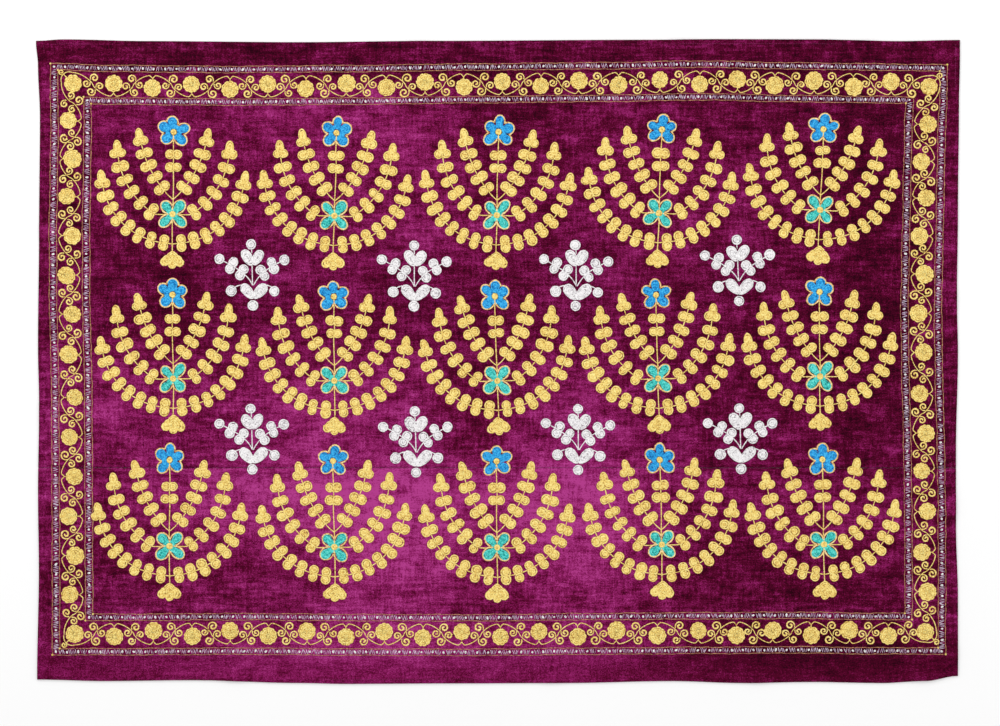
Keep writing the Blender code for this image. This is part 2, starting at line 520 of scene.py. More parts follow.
@dataclass(frozen=True)
class WeaveFinish:
    """The velvet's back: a plain ground weave with no pile."""

    yarn: Colour = linear(112, 34, 70)
    gap: Colour = linear(70, 12, 38)
    threads: float = 900.0
    roughness: float = 0.95
    depth: float = 0.15 * MM

    def material(self) -> bpy.types.Material:
        """Cross two waves of sines, one along X and one along Y, as warp and weft.

        Returns:
            The back's material.
        """
        board = Board("velvet_back")
        place = board.place()
        axes = board.add("ShaderNodeSeparateXYZ", {}, {"Vector": place})
        count = self.threads * FULL_TURN
        warp = (axes["X"] * count).sine()
        weft = (axes["Y"] * count).sine()
        weave = warp * weft * 0.5 + 0.5
        worn = board.noise(place, 9.0, 3.0)
        return board.finish(
            Base_Color=board.mix(weave * 0.6 + worn * 0.5, self.gap, self.yarn),
            Roughness=self.roughness,
            Normal=board.bump(weave, self.depth),
        )


@dataclass(frozen=True)
class ThreadFinish:
    """Satin yarn in chain stitch: two strands in each link, with a painted highlight on their crowns."""

    slot: str
    deep: Colour
    middle: Colour
    light: Colour
    reach: float = 0.52
    strand: float = 3.2
    crown_power: float = 1.6
    plies: float = 3.0
    ply_slant: float = 9.0
    speckles: float = 260.0
    # How much the crowns' painted highlight, the plies' painted shading, the row's tone and the painted
    # glints and specks of shade lighten the yarn, and a base
    crown_highlight: float = 0.30
    ply_shading: float = 0.10
    by_tone: float = 0.46
    by_glint_and_shade: float = 2.1
    darkest: float = 0.09
    ply_relief: float = 0.15
    depth: float = 0.3 * MM
    roughness: float = 0.68
    gloss: float = 0.2
    sheen: float = 0.04

    def material(self) -> bpy.types.Material:
        """Draw a link as two strands that part and meet again once a stitch.

        U counts stitches along the row and V runs across it. The strand's middle is
        at reach * sin(pi * u) from the row's middle, and its crown falls off with the
        distance from there; the crown is raised and painted lighter, a painted highlight. A fine
        slant across the strands stands for the plies, raised and painted with light and shade.
        Noise speckles paint glints and dark specks of shade between the stitches.

        Returns:
            The yarn's material.
        """
        board = Board(self.slot)
        uv = board.add("ShaderNodeUVMap", {"uv_map": "stitches"}, {})["UV"]
        axes = board.add("ShaderNodeSeparateXYZ", {}, {"Vector": uv})
        along = axes["X"]
        across = (axes["Y"] * 2.0 - 1.0).size()
        middle = (along.fraction() * np.pi).sine() * self.reach
        crown = 1.0 - ((across - middle).size() * self.strand * 0.5) ** self.crown_power
        ply = (along * FULL_TURN * self.plies + across * self.ply_slant).sine() * 0.5 + 0.5
        glint_and_shade_speckle = (board.noise(board.place(), self.speckles, 3.0) - 0.5) * self.by_glint_and_shade
        tone = board.attribute("tone") * self.by_tone
        # The yarn is lit and shaded by paint: a painted highlight on the crowns, painted shading of the
        # plies, painted glints and dark specks, and the row's tone
        light = crown * self.crown_highlight + ply * self.ply_shading + tone + glint_and_shade_speckle + self.darkest
        return board.finish(
            Base_Color=board.ramp(((0.0, self.deep), (0.45, self.middle), (1.0, self.light)), light),
            Roughness=self.roughness,
            Normal=board.bump(crown * (1.0 - self.ply_relief) + ply * self.ply_relief, self.depth),
            Sheen_Weight=self.sheen,
            Specular_IOR_Level=self.gloss,
        )


@dataclass(frozen=True)
class FloorFinish:
    """The plain pale floor, with the faintest unevenness of painted board."""

    pale: Colour = (0.95, 0.95, 0.95)
    paler: Colour = (0.98, 0.98, 0.98)

    def material(self) -> bpy.types.Material:
        """Mix two whites by broad noise."""
        board = Board("pale_floor")
        clouds = board.noise(board.place(), 0.8)
        return board.finish(Base_Color=board.mix(clouds, self.pale, self.paler), Roughness=0.9)


# Each yarn: its deep colour, where it is painted shaded or darker at random, its middle colour, and its
# light colour, where it is painted lit
class Thread(Enum):
    """The yarns that the cloth is worked in."""

    GOLDEN = ThreadFinish(
        "golden_thread", linear(160, 104, 52), linear(238, 203, 106), linear(255, 236, 150)
    )
    OUTLINE = ThreadFinish(
        "outline_thread", linear(150, 86, 52), linear(236, 190, 118), linear(255, 234, 176)
    )
    BLUE = ThreadFinish("blue_thread", linear(0, 70, 144), linear(20, 144, 214), linear(72, 192, 246))
    TURQUOISE = ThreadFinish(
        "turquoise_thread", linear(4, 102, 104), linear(44, 188, 180), linear(112, 232, 222)
    )
    WHITE = ThreadFinish("white_thread", linear(140, 126, 136), linear(228, 225, 226), linear(252, 250, 250))
    LILAC = ThreadFinish("lilac_thread", linear(106, 52, 98), linear(196, 162, 196), linear(240, 228, 244))
    COPPER = ThreadFinish("copper_thread", linear(96, 44, 42), linear(170, 110, 84), linear(216, 166, 116))
    HEM = ThreadFinish("velvet", linear(70, 3, 36), linear(122, 24, 82), linear(150, 48, 112))


def quads(count: int, across: int, start: int = 0) -> Array:
    """Return the faces of a strip of count stations, each with across points.

    Args:
        count: how many stations there are along the strip.
        across: how many points each station has.
        start: the number of the strip's first point.

    Returns:
        The quads, facing up where the points run from right to left of the way along.
    """
    station, point = np.meshgrid(np.arange(count - 1), np.arange(across - 1), indexing="ij")
    first = (start + station * across + point).ravel()
    return np.column_stack([first, first + across, first + across + 1, first + 1])


def ridge(count: int, start: int, closed: bool) -> tuple[Array, Array]:
    """Return the faces of a ridge four points across: top, underside, and loose ends.

    Args:
        count: how many stations there are along the ridge.
        start: the number of its first point.
        closed: whether its last station lies on its first, so that it has no ends.

    Returns:
        The quads, facing out, and for each one whether it is flat.
    """
    top = quads(count, 4, start)
    right = start + 4 * np.arange(count - 1)
    under = np.column_stack([right + 3, right + 7, right + 4, right])
    ends = np.array([[0, 1, 2, 3], [4 * count - 1, 4 * count - 2, 4 * count - 3, 4 * count - 4]]) + start
    faces = [top, under] if closed else [top, under, ends]
    joined = np.concatenate(faces)
    return joined, np.arange(len(joined)) >= len(top)


def add_object(name: str, data: bpy.types.ID) -> bpy.types.Object:
    """Put a mesh, a lamp or a camera into the scene as a new object at the origin."""
    made = bpy.data.objects.new(name, data)
    bpy.context.scene.collection.objects.link(made)
    return made


def store(mesh: bpy.types.Mesh, name: str, kind: str, domain: str, values: Array) -> None:
    """Store a value for each point or face of a mesh under a name."""
    mesh.attributes.new(name, kind, domain).data.foreach_set("value", values)


def make_piece(
    name: str, points: Array, faces: Array, materials: Sequence[bpy.types.Material]
) -> bpy.types.Object:
    """Put points and quads into a new smooth mesh object that rides on the cloth.

    Args:
        name: the piece's name.
        points: its points (n, 3), in metres.
        faces: its quads (m, 4).
        materials: its materials, in the order of its slots.

    Returns:
        The new object.
    """
    mesh = bpy.data.meshes.new(name)
    mesh.from_pydata(points, [], faces.tolist())
    mesh.shade_smooth()
    made = add_object(name, mesh)
    for material in materials:
        mesh.materials.append(material)
    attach(made, "root")
    return made


@dataclass(frozen=True)
class SheenPatch:
    """A patch of painted sheen on the pile: middle, half-lengths and strength; below 0 it is
    painted darker, as where the pile turns from the light. In mm.
    """

    x: float
    y: float
    half_x: float
    half_y: float
    by: float


# Patches of painted sheen: lighter where the pile catches the light, darker below 0 where it turns away
SHEEN_PATCHES = tuple(SheenPatch(*row) for row in (
    (-700, 690, 480, 60, -0.16), (100, 690, 500, 40, -0.08), (800, 690, 300, 60, -0.1),
    (-820, 540, 110, 90, 0.06), (-470, 575, 270, 80, 0.16), (-200, 500, 140, 110, 0.2),
    (-860, 290, 120, 160, 0.02), (-160, 290, 130, 70, 0.18), (-450, 210, 160, 90, 0.12),
    (-730, 150, 130, 120, -0.12), (-300, 110, 420, 110, -0.05), (20, 580, 180, 110, -0.16),
    (200, 470, 200, 160, 0.06), (540, 340, 150, 110, 0.1), (530, 600, 120, 50, -0.14),
    (-500, 400, 160, 70, 0.1), (780, 200, 60, 130, 0.12), (820, 420, 180, 300, -0.14),
    (860, 60, 150, 330, -0.16), (230, 140, 160, 120, 0.05), (-840, -110, 130, 130, 0.22),
    (-430, -100, 200, 130, 0.28), (-190, -70, 120, 110, 0.14), (180, -100, 160, 120, 0.16),
    (-60, -170, 90, 120, -0.1), (520, -80, 190, 110, -0.02), (-640, -330, 330, 110, 0.2),
    (-250, -300, 300, 110, 0.32), (-240, -480, 180, 150, 0.26), (-880, -370, 110, 130, -0.14),
    (-440, -440, 120, 120, -0.04), (-30, -430, 80, 200, -0.14), (180, -330, 220, 160, 0.36),
    (250, -520, 200, 130, 0.08), (430, -430, 140, 130, -0.12), (690, -540, 240, 130, -0.18),
    (760, -330, 160, 100, 0.08), (-350, -650, 380, 70, 0.2), (150, -660, 240, 70, 0.1),
    (780, -680, 400, 60, -0.27), (1010, -420, 60, 120, -0.14), (1000, -160, 60, 140, -0.06),
    (1010, 260, 60, 160, 0.1), (-1010, -60, 60, 200, 0.14), (-1010, 260, 60, 200, -0.04),
    (-1010, -560, 60, 200, -0.08),
))


@dataclass(frozen=True)
class Panel:
    """One velvet panel: a closed sheet with a pile face, a woven back and rolled edges."""

    name: str
    node: str
    low_y: float
    high_y: float
    hem_low: bool
    hem_high: bool
    cell: float = 11.4 * MM
    roll: float = 0.9 * MM
    seam_roll: float = 2.4 * MM
    rim_back: float = 0.45
    rim_front: float = 0.55
    # The painted sheen's ground tone, and how much lighter the panel below the seam is painted
    sheen_ground: float = 0.42
    sheen_below_seam: float = 0.07

    def places(self, start: float, end: float, near_start: Array, near_end: Array) -> Array:
        """Return stations from start to end: the given distances near both ends, even ones between."""
        first = start + near_start[-1]
        last = end - near_end[-1]
        between = np.linspace(first, last, round((last - first) / self.cell) + 1)
        return np.concatenate([start + near_start[:-1], between, end - near_end[-2::-1]])

    def near(self, hem: float) -> Array:
        """Return the distances from a hemmed edge that its roll and its fall need."""
        return np.array([0.0, self.roll, hem, hem + CLOTH.step / 2, hem + CLOTH.step])

    def near_seam(self) -> Array:
        """Return the distances from the seam that its roll and its folded allowance need."""
        fold = CLOTH.allowance
        seam = [0.0, self.roll, self.seam_roll, CLOTH.seam_rise, fold, fold + CLOTH.step]
        return np.array(seam)

    def painted_sheen(self, x: Array, y: Array) -> Array:
        """Add up the patches of painted sheen: each fades as a bell from its middle, and the panel
        below the seam is painted a little lighter as a whole, as its pile catches more light.

        Args:
            x: places along the cloth.
            y: places across it.

        Returns:
            The tone of the painted sheen, about 0 to 1.
        """
        tone = np.full(x.shape, self.sheen_ground + (self.sheen_below_seam if self.hem_low else 0.0))
        for row in SHEEN_PATCHES:
            far = ((x - row.x * MM) / (row.half_x * MM)) ** 2 + ((y - row.y * MM) / (row.half_y * MM)) ** 2
            tone += row.by * np.exp(-far)
        return tone

    def surfaces(self) -> tuple[Array, Array, int, int]:
        """Work out the front and back over one grid of flat places.

        Both have the cloth's outline; the front stands the cloth's thickness over the
        back, and both meet halfway at the rim, which rounds the edge.

        Returns:
            The front's points, the back's points, and the grid's stations along and across.
        """
        ends = {True: self.near(CLOTH.hem), False: self.near_seam()}
        half = CLOTH.length / 2
        along = self.places(-half, half, self.near(CLOTH.hem_left), self.near(CLOTH.hem))
        across = self.places(self.low_y, self.high_y, ends[self.hem_low], ends[self.hem_high])
        flat_x, flat_y = np.meshgrid(along, across, indexing="ij")
        reach = max(abs(self.low_y - CLOTH.seam_y), abs(self.high_y - CLOTH.seam_y))
        outward = np.abs(flat_y - CLOTH.seam_y) / reach
        x = flat_x + CLOTH.pull(flat_x, flat_y)
        side = EDGES.top if self.hem_high else EDGES.bottom
        y = flat_y + read_along(side, flat_x) * outward * (-1.0 if self.hem_high else 1.0)
        under = CLOTH.lie(x, y)
        thick = CLOTH.thickness(flat_x, flat_y)
        rim = np.zeros(flat_x.shape, bool)
        rim[[0, -1], :] = True
        rim[:, [0, -1]] = True
        front = under + np.where(rim, self.rim_front, 1.0) * thick
        back = under + np.where(rim, self.rim_back, 0.0) * thick
        fronts = np.stack([x, y, front], axis=-1).reshape(-1, 3)
        backs = np.stack([x, y, back], axis=-1).reshape(-1, 3)
        return fronts, backs, len(along), len(across)

    def rim_faces(self, along: int, across: int) -> Array:
        """Return the quads that join the front's rim to the back's.

        Args:
            along: stations along the grid.
            across: stations across it.

        Returns:
            The quads, facing out.
        """
        number = np.arange(along * across).reshape(along, across)
        ring = np.concatenate([number[:-1, 0], number[-1, :-1], number[:0:-1, -1], number[0, :0:-1]])
        after = np.roll(ring, -1)
        behind = along * across
        return np.column_stack([ring, ring + behind, after + behind, after])

    def build(self, pile: bpy.types.Material, weave: bpy.types.Material) -> bpy.types.Object:
        """Make the panel, which replaces its plain solid.

        Args:
            pile: the face's material.
            weave: the back's material.

        Returns:
            The new sheet.
        """
        fronts, backs, along, across = self.surfaces()
        face = quads(along, across)
        back = quads(along, across, len(fronts))[:, ::-1]
        rim = self.rim_faces(along, across)
        points = np.concatenate([fronts, backs])
        made = make_piece(self.name, points, np.concatenate([face, rim, back]), [pile, weave])
        slots = np.zeros(len(face) + len(rim) + len(back), np.int32)
        slots[len(face) + len(rim):] = 1
        made.data.polygons.foreach_set("material_index", slots)
        # Store the painted sheen on each point, for the pile's colour
        tone = self.painted_sheen(points[:, 0], points[:, 1]).astype(np.float32)
        store(made.data, "painted_sheen", "FLOAT", "POINT", tone)
        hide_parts(self.node)
        return made


@dataclass
class Spot:
    """Where a shape goes: its middle, its turn in radians and its scale along and across."""

    x: float
    y: float
    turn: float = 0.0
    along: float = 1.0
    across: float = 1.0

    def put(self, path: Array) -> Array:
        """Return a path (n, 2) of the shape's own frame, scaled, turned and moved here."""
        x = path[:, 0] * self.along
        y = path[:, 1] * self.across
        cos = np.cos(self.turn)
        sin = np.sin(self.turn)
        return np.column_stack([self.x + x * cos - y * sin, self.y + x * sin + y * cos])
# The place of what is drawn straight on the cloth
AS_DRAWN = Spot(0.0, 0.0)


def polar(reach: Array | float, turn: Array) -> Array:
    """Return the points (n, 2) at these distances and angles."""
    return np.column_stack([reach * np.cos(turn), reach * np.sin(turn)])


def lengths(vectors: Array) -> Array:
    """Return the lengths of vectors (n, 2)."""
    return np.hypot(vectors[:, 0], vectors[:, 1])


def along_path(chosen: Array, places: Array, points: Array) -> Array:
    """Return the points of a path at chosen places, straight between its own points."""
    return np.column_stack([np.interp(chosen, places, column) for column in points.T])


@dataclass
class Row:
    """One sewn row: its path (n, 2), its width at each station, whether it closes, and how
    much it shows as a motif's rim there, from 0 to 1: painted shaded on its right, where it
    sinks into the pile, and with a dark line of painted shade on its left."""

    path: Array
    width: Array
    closed: bool = False
    rim: Array | None = None


def effort_stations(parameter: Array, points: Array, stitch: float, sharpest: float) -> Array:
    """Choose stations along a path by effort: one for each stitch, and one for each sharp bend.

    Args:
        parameter: the path's parameter at many close places.
        points: the path's points (n, 2) there.
        stitch: the length of a stitch.
        sharpest: the most that the path may turn from one station to the next, in radians.

    Returns:
        The parameter at the stations.
    """
    steps = np.diff(points, axis=0)
    heading = np.unwrap(np.arctan2(steps[:, 1], steps[:, 0]))
    bends = np.abs(np.diff(heading, prepend=heading[0]))
    effort = np.concatenate([[0.0], np.cumsum(np.maximum(lengths(steps) / stitch, bends / sharpest))])
    count = max(3, int(np.ceil(effort[-1])))
    return np.interp(np.linspace(0.0, effort[-1], count + 1), effort, parameter)


Outline = Callable[[Array], Array]


def egg(half_long: float, half_wide: float, fuller: float = 0.0) -> Outline:
    """Return an outline about its middle: an ellipse that is wider towards its far end.

    The point at angle t is (half_long cos t, half_wide sin t (1 + fuller cos t)).
    """

    def points(turn: Array) -> Array:
        """Return the outline's points at these angles."""
        wide = half_wide * np.sin(turn) * (1.0 + fuller * np.cos(turn))
        return np.column_stack([half_long * np.cos(turn), wide])

    return points


def lobe(radius: float, inner: float) -> Outline:
    """Return a lobe that is round on its right and squarer on its left, where it is cut
    flat for its twin.

    The reach at an angle is that of |x|^p + |y|^p = radius^p, with p from 2 on the right to
    2.6 on the left, or the way to the flat where that is less; an eighth power blends the
    two, so that the corners are soft.
    """

    def points(turn: Array) -> Array:
        """Return the outline's points at these angles."""
        cos = np.cos(turn)
        power = 2.0 + 0.6 * ease(-cos)
        free = radius * (np.abs(cos) ** power + np.abs(np.sin(turn)) ** power) ** (-1.0 / power)
        flat = inner / np.maximum(-cos, 0.05)
        reach = (free**-8.0 + flat**-8.0) ** -0.125
        return polar(reach, turn)

    return points


def scalloped(radius: float, scallops: float, depth: float) -> Outline:
    """Return a rosette: a circle whose reach rises and falls once for each scallop."""

    def points(turn: Array) -> Array:
        """Return the outline's points at these angles."""
        reach = radius * (1.0 - depth + depth * np.abs(np.cos(turn * scallops / 2)) ** 0.7)
        return polar(reach, turn)

    return points


def clustered(discs: Array) -> Outline:
    """Return the outline of discs, each (x, y, radius), that overlap round a middle.

    Along each direction it is the farthest crossing with any disc: the larger root of
    t^2 - 2 t (direction . middle) + middle^2 - radius^2 = 0.
    """
    middles = discs[:, :2]
    radii = discs[:, 2]

    def points(turn: Array) -> Array:
        """Return the outline's points at these angles."""
        way = polar(1.0, turn)
        along = way @ middles.T
        inside = along**2 - (middles**2).sum(axis=1) + radii**2
        reach = np.where(inside > 0, along + np.sqrt(np.maximum(inside, 0.0)), 0.0).max(axis=1)
        return way * reach[:, None]

    return points


# A filled shape: its rim's width, how far its rows and its knot overlap what is next to
# them, where a row lies in its share, the knot's reach, and the sharpest turn of a row
RIM_WIDTH = 3.5 * MM
ROW_OVERLAP = 1.24
KNOT_OVERLAP = 1.25
RIM_PLACE = 0.57
KNOT_REACH = 0.45
FILL_BEND = 0.75
# The cosines between which a rim's painted shade fades where a shape runs into its neighbour
MEETS = (0.1, 0.5)
# How wide a link is between two stitches, as a share of its middle
NARROW = 0.8


def fill(
    outline: Outline, pitch: float, stitch: float, start: float = 0.0, meets: float | None = None
) -> list[Row]:
    """Fill an outline with closed rows of chain stitch, one inside the other, and a knot
    in the middle. The rows are wider than their pitch, so that no velvet shows between.

    Args:
        outline: the shape's outline about its middle.
        pitch: about how far apart the rows are.
        stitch: a stitch's length.
        start: the angle at which the rows begin.
        meets: the angle at which the shape runs into its neighbour, with no painted rim shade there.

    Returns:
        The rows, in the shape's own frame.
    """
    turn = np.linspace(0.0, FULL_TURN, 240)
    edge = outline(turn)
    mean = lengths(edge).mean()
    rings = max(1, round(mean / pitch - 0.5))
    share = 1.0 / (rings + 0.5)
    # The rim is a narrower row than those inside it
    outer = min(share, RIM_WIDTH / mean) if rings > 1 else share
    inner = (1.0 - outer) / max(rings - 0.5, 0.5)
    rows = []
    for ring in range(rings):
        own = outer if ring == 0 else inner
        scale = 1.0 - (RIM_PLACE * outer if ring == 0 else outer + (ring - (1 - RIM_PLACE)) * inner)
        chosen = effort_stations(turn, edge * scale, stitch, FILL_BEND)[:-1] + start
        points = outline(chosen)
        wide = ROW_OVERLAP * own * lengths(points)
        # The outer row of a filled shape is its rim, painted darker as shade, except where it meets its
        # neighbour
        rim = np.ones(len(points)) if ring == 0 and rings > 1 else None
        if rim is not None and meets is not None:
            rim = 1.0 - ease((np.cos(chosen - meets) - MEETS[0]) / (MEETS[1] - MEETS[0]))
        rows.append(Row(points * scale, wide, closed=True, rim=rim))
    ends = outline(np.array([start, start + np.pi / 2, start + np.pi])) * np.array([[1.0], [0.0], [1.0]])
    rows.append(Row(ends * KNOT_REACH * inner, np.full(3, KNOT_OVERLAP * inner * mean)))
    return rows


def line(path: Array, width: float, stitch: float, sharpest: float = 0.5) -> Row:
    """Make one row along a path of many close points, with a station at each half stitch,
    so that each link swells and narrows.

    Args:
        path: the path's points (n, 2).
        width: the row's width at the middle of a link.
        stitch: a stitch's length.
        sharpest: the most that the row turns between stations, in radians.

    Returns:
        The row.
    """
    number = np.arange(len(path), dtype=float)
    chosen = effort_stations(number, path, stitch / 2, sharpest)
    at = along_path(chosen, number, path)
    swell = np.where(np.arange(len(at)) % 2 == 1, 1.0, NARROW)
    return Row(at, width * swell)


def bezier(start: Array, bend: Array, end: Array, count: int = 24) -> Array:
    """Return count points on the curve from start to end that is drawn towards bend."""
    part = np.linspace(0.0, 1.0, count)[:, None]
    drawn = 2 * part * (1 - part) * np.asarray(bend)
    return (1 - part) ** 2 * np.asarray(start) + drawn + part**2 * np.asarray(end)


@dataclass
class Needle:
    """Sews rows in one yarn and makes them one piece.

    A row is a closed ridge: four points across at each station, the two middle ones
    raised by rise, the outer two sunk into the pile and joined by a flat underside.
    """

    thread: Thread
    rise: float = 1.25 * MM
    sink: float = 0.2 * MM
    stitch: float = 4.0 * MM
    shoulder: float = 0.52
    end_rise: float = 0.35
    uneven_rise: float = 0.07
    ragged: float = 0.15
    tone: float = 0.58
    uneven: float = 0.12
    uneven_stitch: float = 0.26
    # How much painted shade darkens a motif's rim: a line along one edge, its shoulder, and dark specks
    # along the other edge
    rim_edge_shade: float = 0.9
    rim_shoulder_shade: float = 0.1
    rim_shade: tuple[float, float] = (0.5, 1.2)
    strays: bool = False
    seed: int = 7
    points: list[Array] = field(default_factory=list)
    faces: list[Array] = field(default_factory=list)
    uvs: list[Array] = field(default_factory=list)
    tones: list[Array] = field(default_factory=list)
    flats: list[Array] = field(default_factory=list)
    count: int = 0

    def __post_init__(self) -> None:
        """Start this yarn's own even chance."""
        self.chance = np.random.default_rng(self.seed)

    def sew(self, row: Row, spot: Spot, rise: float | None = None) -> None:
        """Lay one row on the cloth.

        Args:
            row: the row in its shape's frame.
            spot: where the shape goes.
            rise: how far the row stands over the pile, if not as usual.
        """
        path = spot.put(row.path)
        scale = (spot.along * spot.across) ** 0.5
        wide = row.width * scale * (1 + self.ragged * self.chance.standard_normal(len(path)))
        if row.closed:
            path = np.concatenate([path, path[:1]])
            wide = np.concatenate([wide, wide[:1]])
        after = path[1:2] if row.closed else path[-1:]
        before = path[-2:-1] if row.closed else path[:1]
        way = np.concatenate([path[1:], after]) - np.concatenate([before, path[:-1]])
        way = way / np.maximum(lengths(way), 1e-9)[:, None]
        left = np.column_stack([-way[:, 1], way[:, 0]])
        over = np.array([-1.0, -self.shoulder, self.shoulder, 1.0])
        crest = np.array([0.0, 1.0, 1.0, 0.0])
        end = np.ones(len(path))
        if not row.closed:
            end[[0, -1]] = self.end_rise
        flat = path[:, None, :] + left[:, None, :] * (over[None, :, None] * wide[:, None, None] * 0.5)
        flat = flat.reshape(-1, 2)
        placed = CLOTH.drawn(flat) if self.strays else flat
        # No two rows are quite as high, so that none lies exactly in another's surface
        taller = 1 + self.uneven_rise * self.chance.standard_normal()
        high = (self.rise if rise is None else rise) * taller + self.sink
        lift = (crest[None, :] * end[:, None] * high - self.sink).ravel()
        z = CLOTH.top(placed[:, 0], placed[:, 1]) + lift
        self.points.append(np.column_stack([placed, z]))
        faces, flats = ridge(len(path), self.count, row.closed)
        self.faces.append(faces)
        self.flats.append(flats)
        self.count += len(path) * 4
        length = np.concatenate([[0.0], np.cumsum(lengths(np.diff(path, axis=0)))])
        along = length / self.stitch + self.chance.random()
        across = np.array([0.0, 0.5 - self.shoulder / 2, 0.5 + self.shoulder / 2, 1.0])
        grid = np.stack(np.broadcast_arrays(along[:, None], across[None, :]), axis=-1)
        self.uvs.append(grid.reshape(-1, 2))
        tone = self.tone + self.uneven * self.chance.standard_normal()
        spread = self.uneven_stitch * self.chance.standard_normal((len(path), 1))
        tones = tone + spread * np.ones((1, 4))
        # A motif's rim is painted darker, as shade where it sinks into the pile
        if row.rim is not None:
            painted_rim_shade = np.resize(row.rim, len(path))
            least, more = self.rim_shade
            tones[:, 0] -= self.rim_edge_shade * painted_rim_shade
            tones[:, 1] -= self.rim_shoulder_shade * painted_rim_shade
            tones[:, 3] -= (least + more * self.chance.random(len(path))) * painted_rim_shade
        self.tones.append(np.clip(tones, -1.0, 1.0).ravel())

    def sew_all(self, rows: Sequence[Row], spot: Spot, rise: float | None = None) -> None:
        """Lay several rows of one shape."""
        for row in rows:
            self.sew(row, spot, rise)

    def finish(self, name: str) -> bpy.types.Object:
        """Join all the rows that were sewn into one piece.

        Args:
            name: the piece's name.

        Returns:
            The new object.
        """
        points = np.concatenate(self.points)
        faces = np.concatenate(self.faces)
        made = make_piece(name, points, faces, [material_of(self.thread)])
        uv = made.data.uv_layers.new(name="stitches")
        corners = np.zeros(len(made.data.loops), np.int32)
        made.data.loops.foreach_get("vertex_index", corners)
        uv.data.foreach_set("uv", np.concatenate(self.uvs)[corners].astype(np.float32).ravel())
        # The tone holds each stitch's random tone, less the painted shade of motif rims
        store(made.data, "tone", "FLOAT", "POINT", np.concatenate(self.tones).astype(np.float32))
        # The underside is shaded flat, so that it doesn't bend the light on the rounded top
        store(made.data, "sharp_face", "BOOLEAN", "FACE", np.concatenate(self.flats))
        LOG.info("%s: %d faces of chain stitch", name, len(faces))
        return made


MATERIALS: dict[Thread, bpy.types.Material] = {}


def material_of(thread: Thread) -> bpy.types.Material:
    """Return a yarn's material, made the first time that it is asked for."""
    if thread not in MATERIALS:
        MATERIALS[thread] = thread.value.material()
    return MATERIALS[thread]


@dataclass(frozen=True)
class Arm:
    """An arm of a spray: an arc with a tip at its end and paired lobes evenly before it.

    The arc's middle and radius are in mm from the green flower's middle; the angles are
    in degrees, from the first pair to the tip.
    """

    middle_x: float
    middle_y: float
    radius: float
    first: float
    tip: float
    pairs: int
    root_x: float
    root_y: float
    bend_x: float
    bend_y: float


ARMS = (
    Arm(-170.9, 216.4, 250.6, -38.6, -11.6, 4, 0.0, 34.2, 12.0, 43.0),
    Arm(-54.7, 154.9, 182.2, -55.3, -5.3, 5, 10.0, 0.0, 38.0, -2.0),
    Arm(3.4, 93.4, 159.5, -84.0, -8.9, 7, 0.0, -67.9, 10.0, -66.5),
)


@dataclass(frozen=True)
class SprayPlace:
    """One spray: its green flower's middle, and the blue flower's from there, in mm."""

    x: float
    y: float
    up_x: float
    up_y: float


# The three rows of sprays, from the top
SPRAY_ROWS = tuple(tuple(SprayPlace(*place) for place in row) for row in (
    (
        (-740.8, 335.3, 2.1, 187.3), (-372.5, 331.9, 5.0, 188.8),
        (-2.3, 333.1, 3.4, 189.1), (366.8, 338.1, 6.8, 190.2),
        (733.7, 345.1, 8.0, 183.6),
    ),
    (
        (-739.9, -39.0, -2.1, 191.1), (-372.7, -43.3, -1.1, 190.9),
        (-1.6, -43.7, -5.5, 191.8), (364.9, -39.0, -4.8, 190.4),
        (733.5, -33.9, -0.9, 192.5),
    ),
    (
        (-747.9, -420.7, -0.2, 196.4), (-372.7, -422.8, -3.2, 195.9),
        (-2.1, -423.9, -0.9, 196.8), (372.9, -417.5, -4.1, 193.4),
        (742.4, -416.9, -3.9, 193.2),
    ),
))


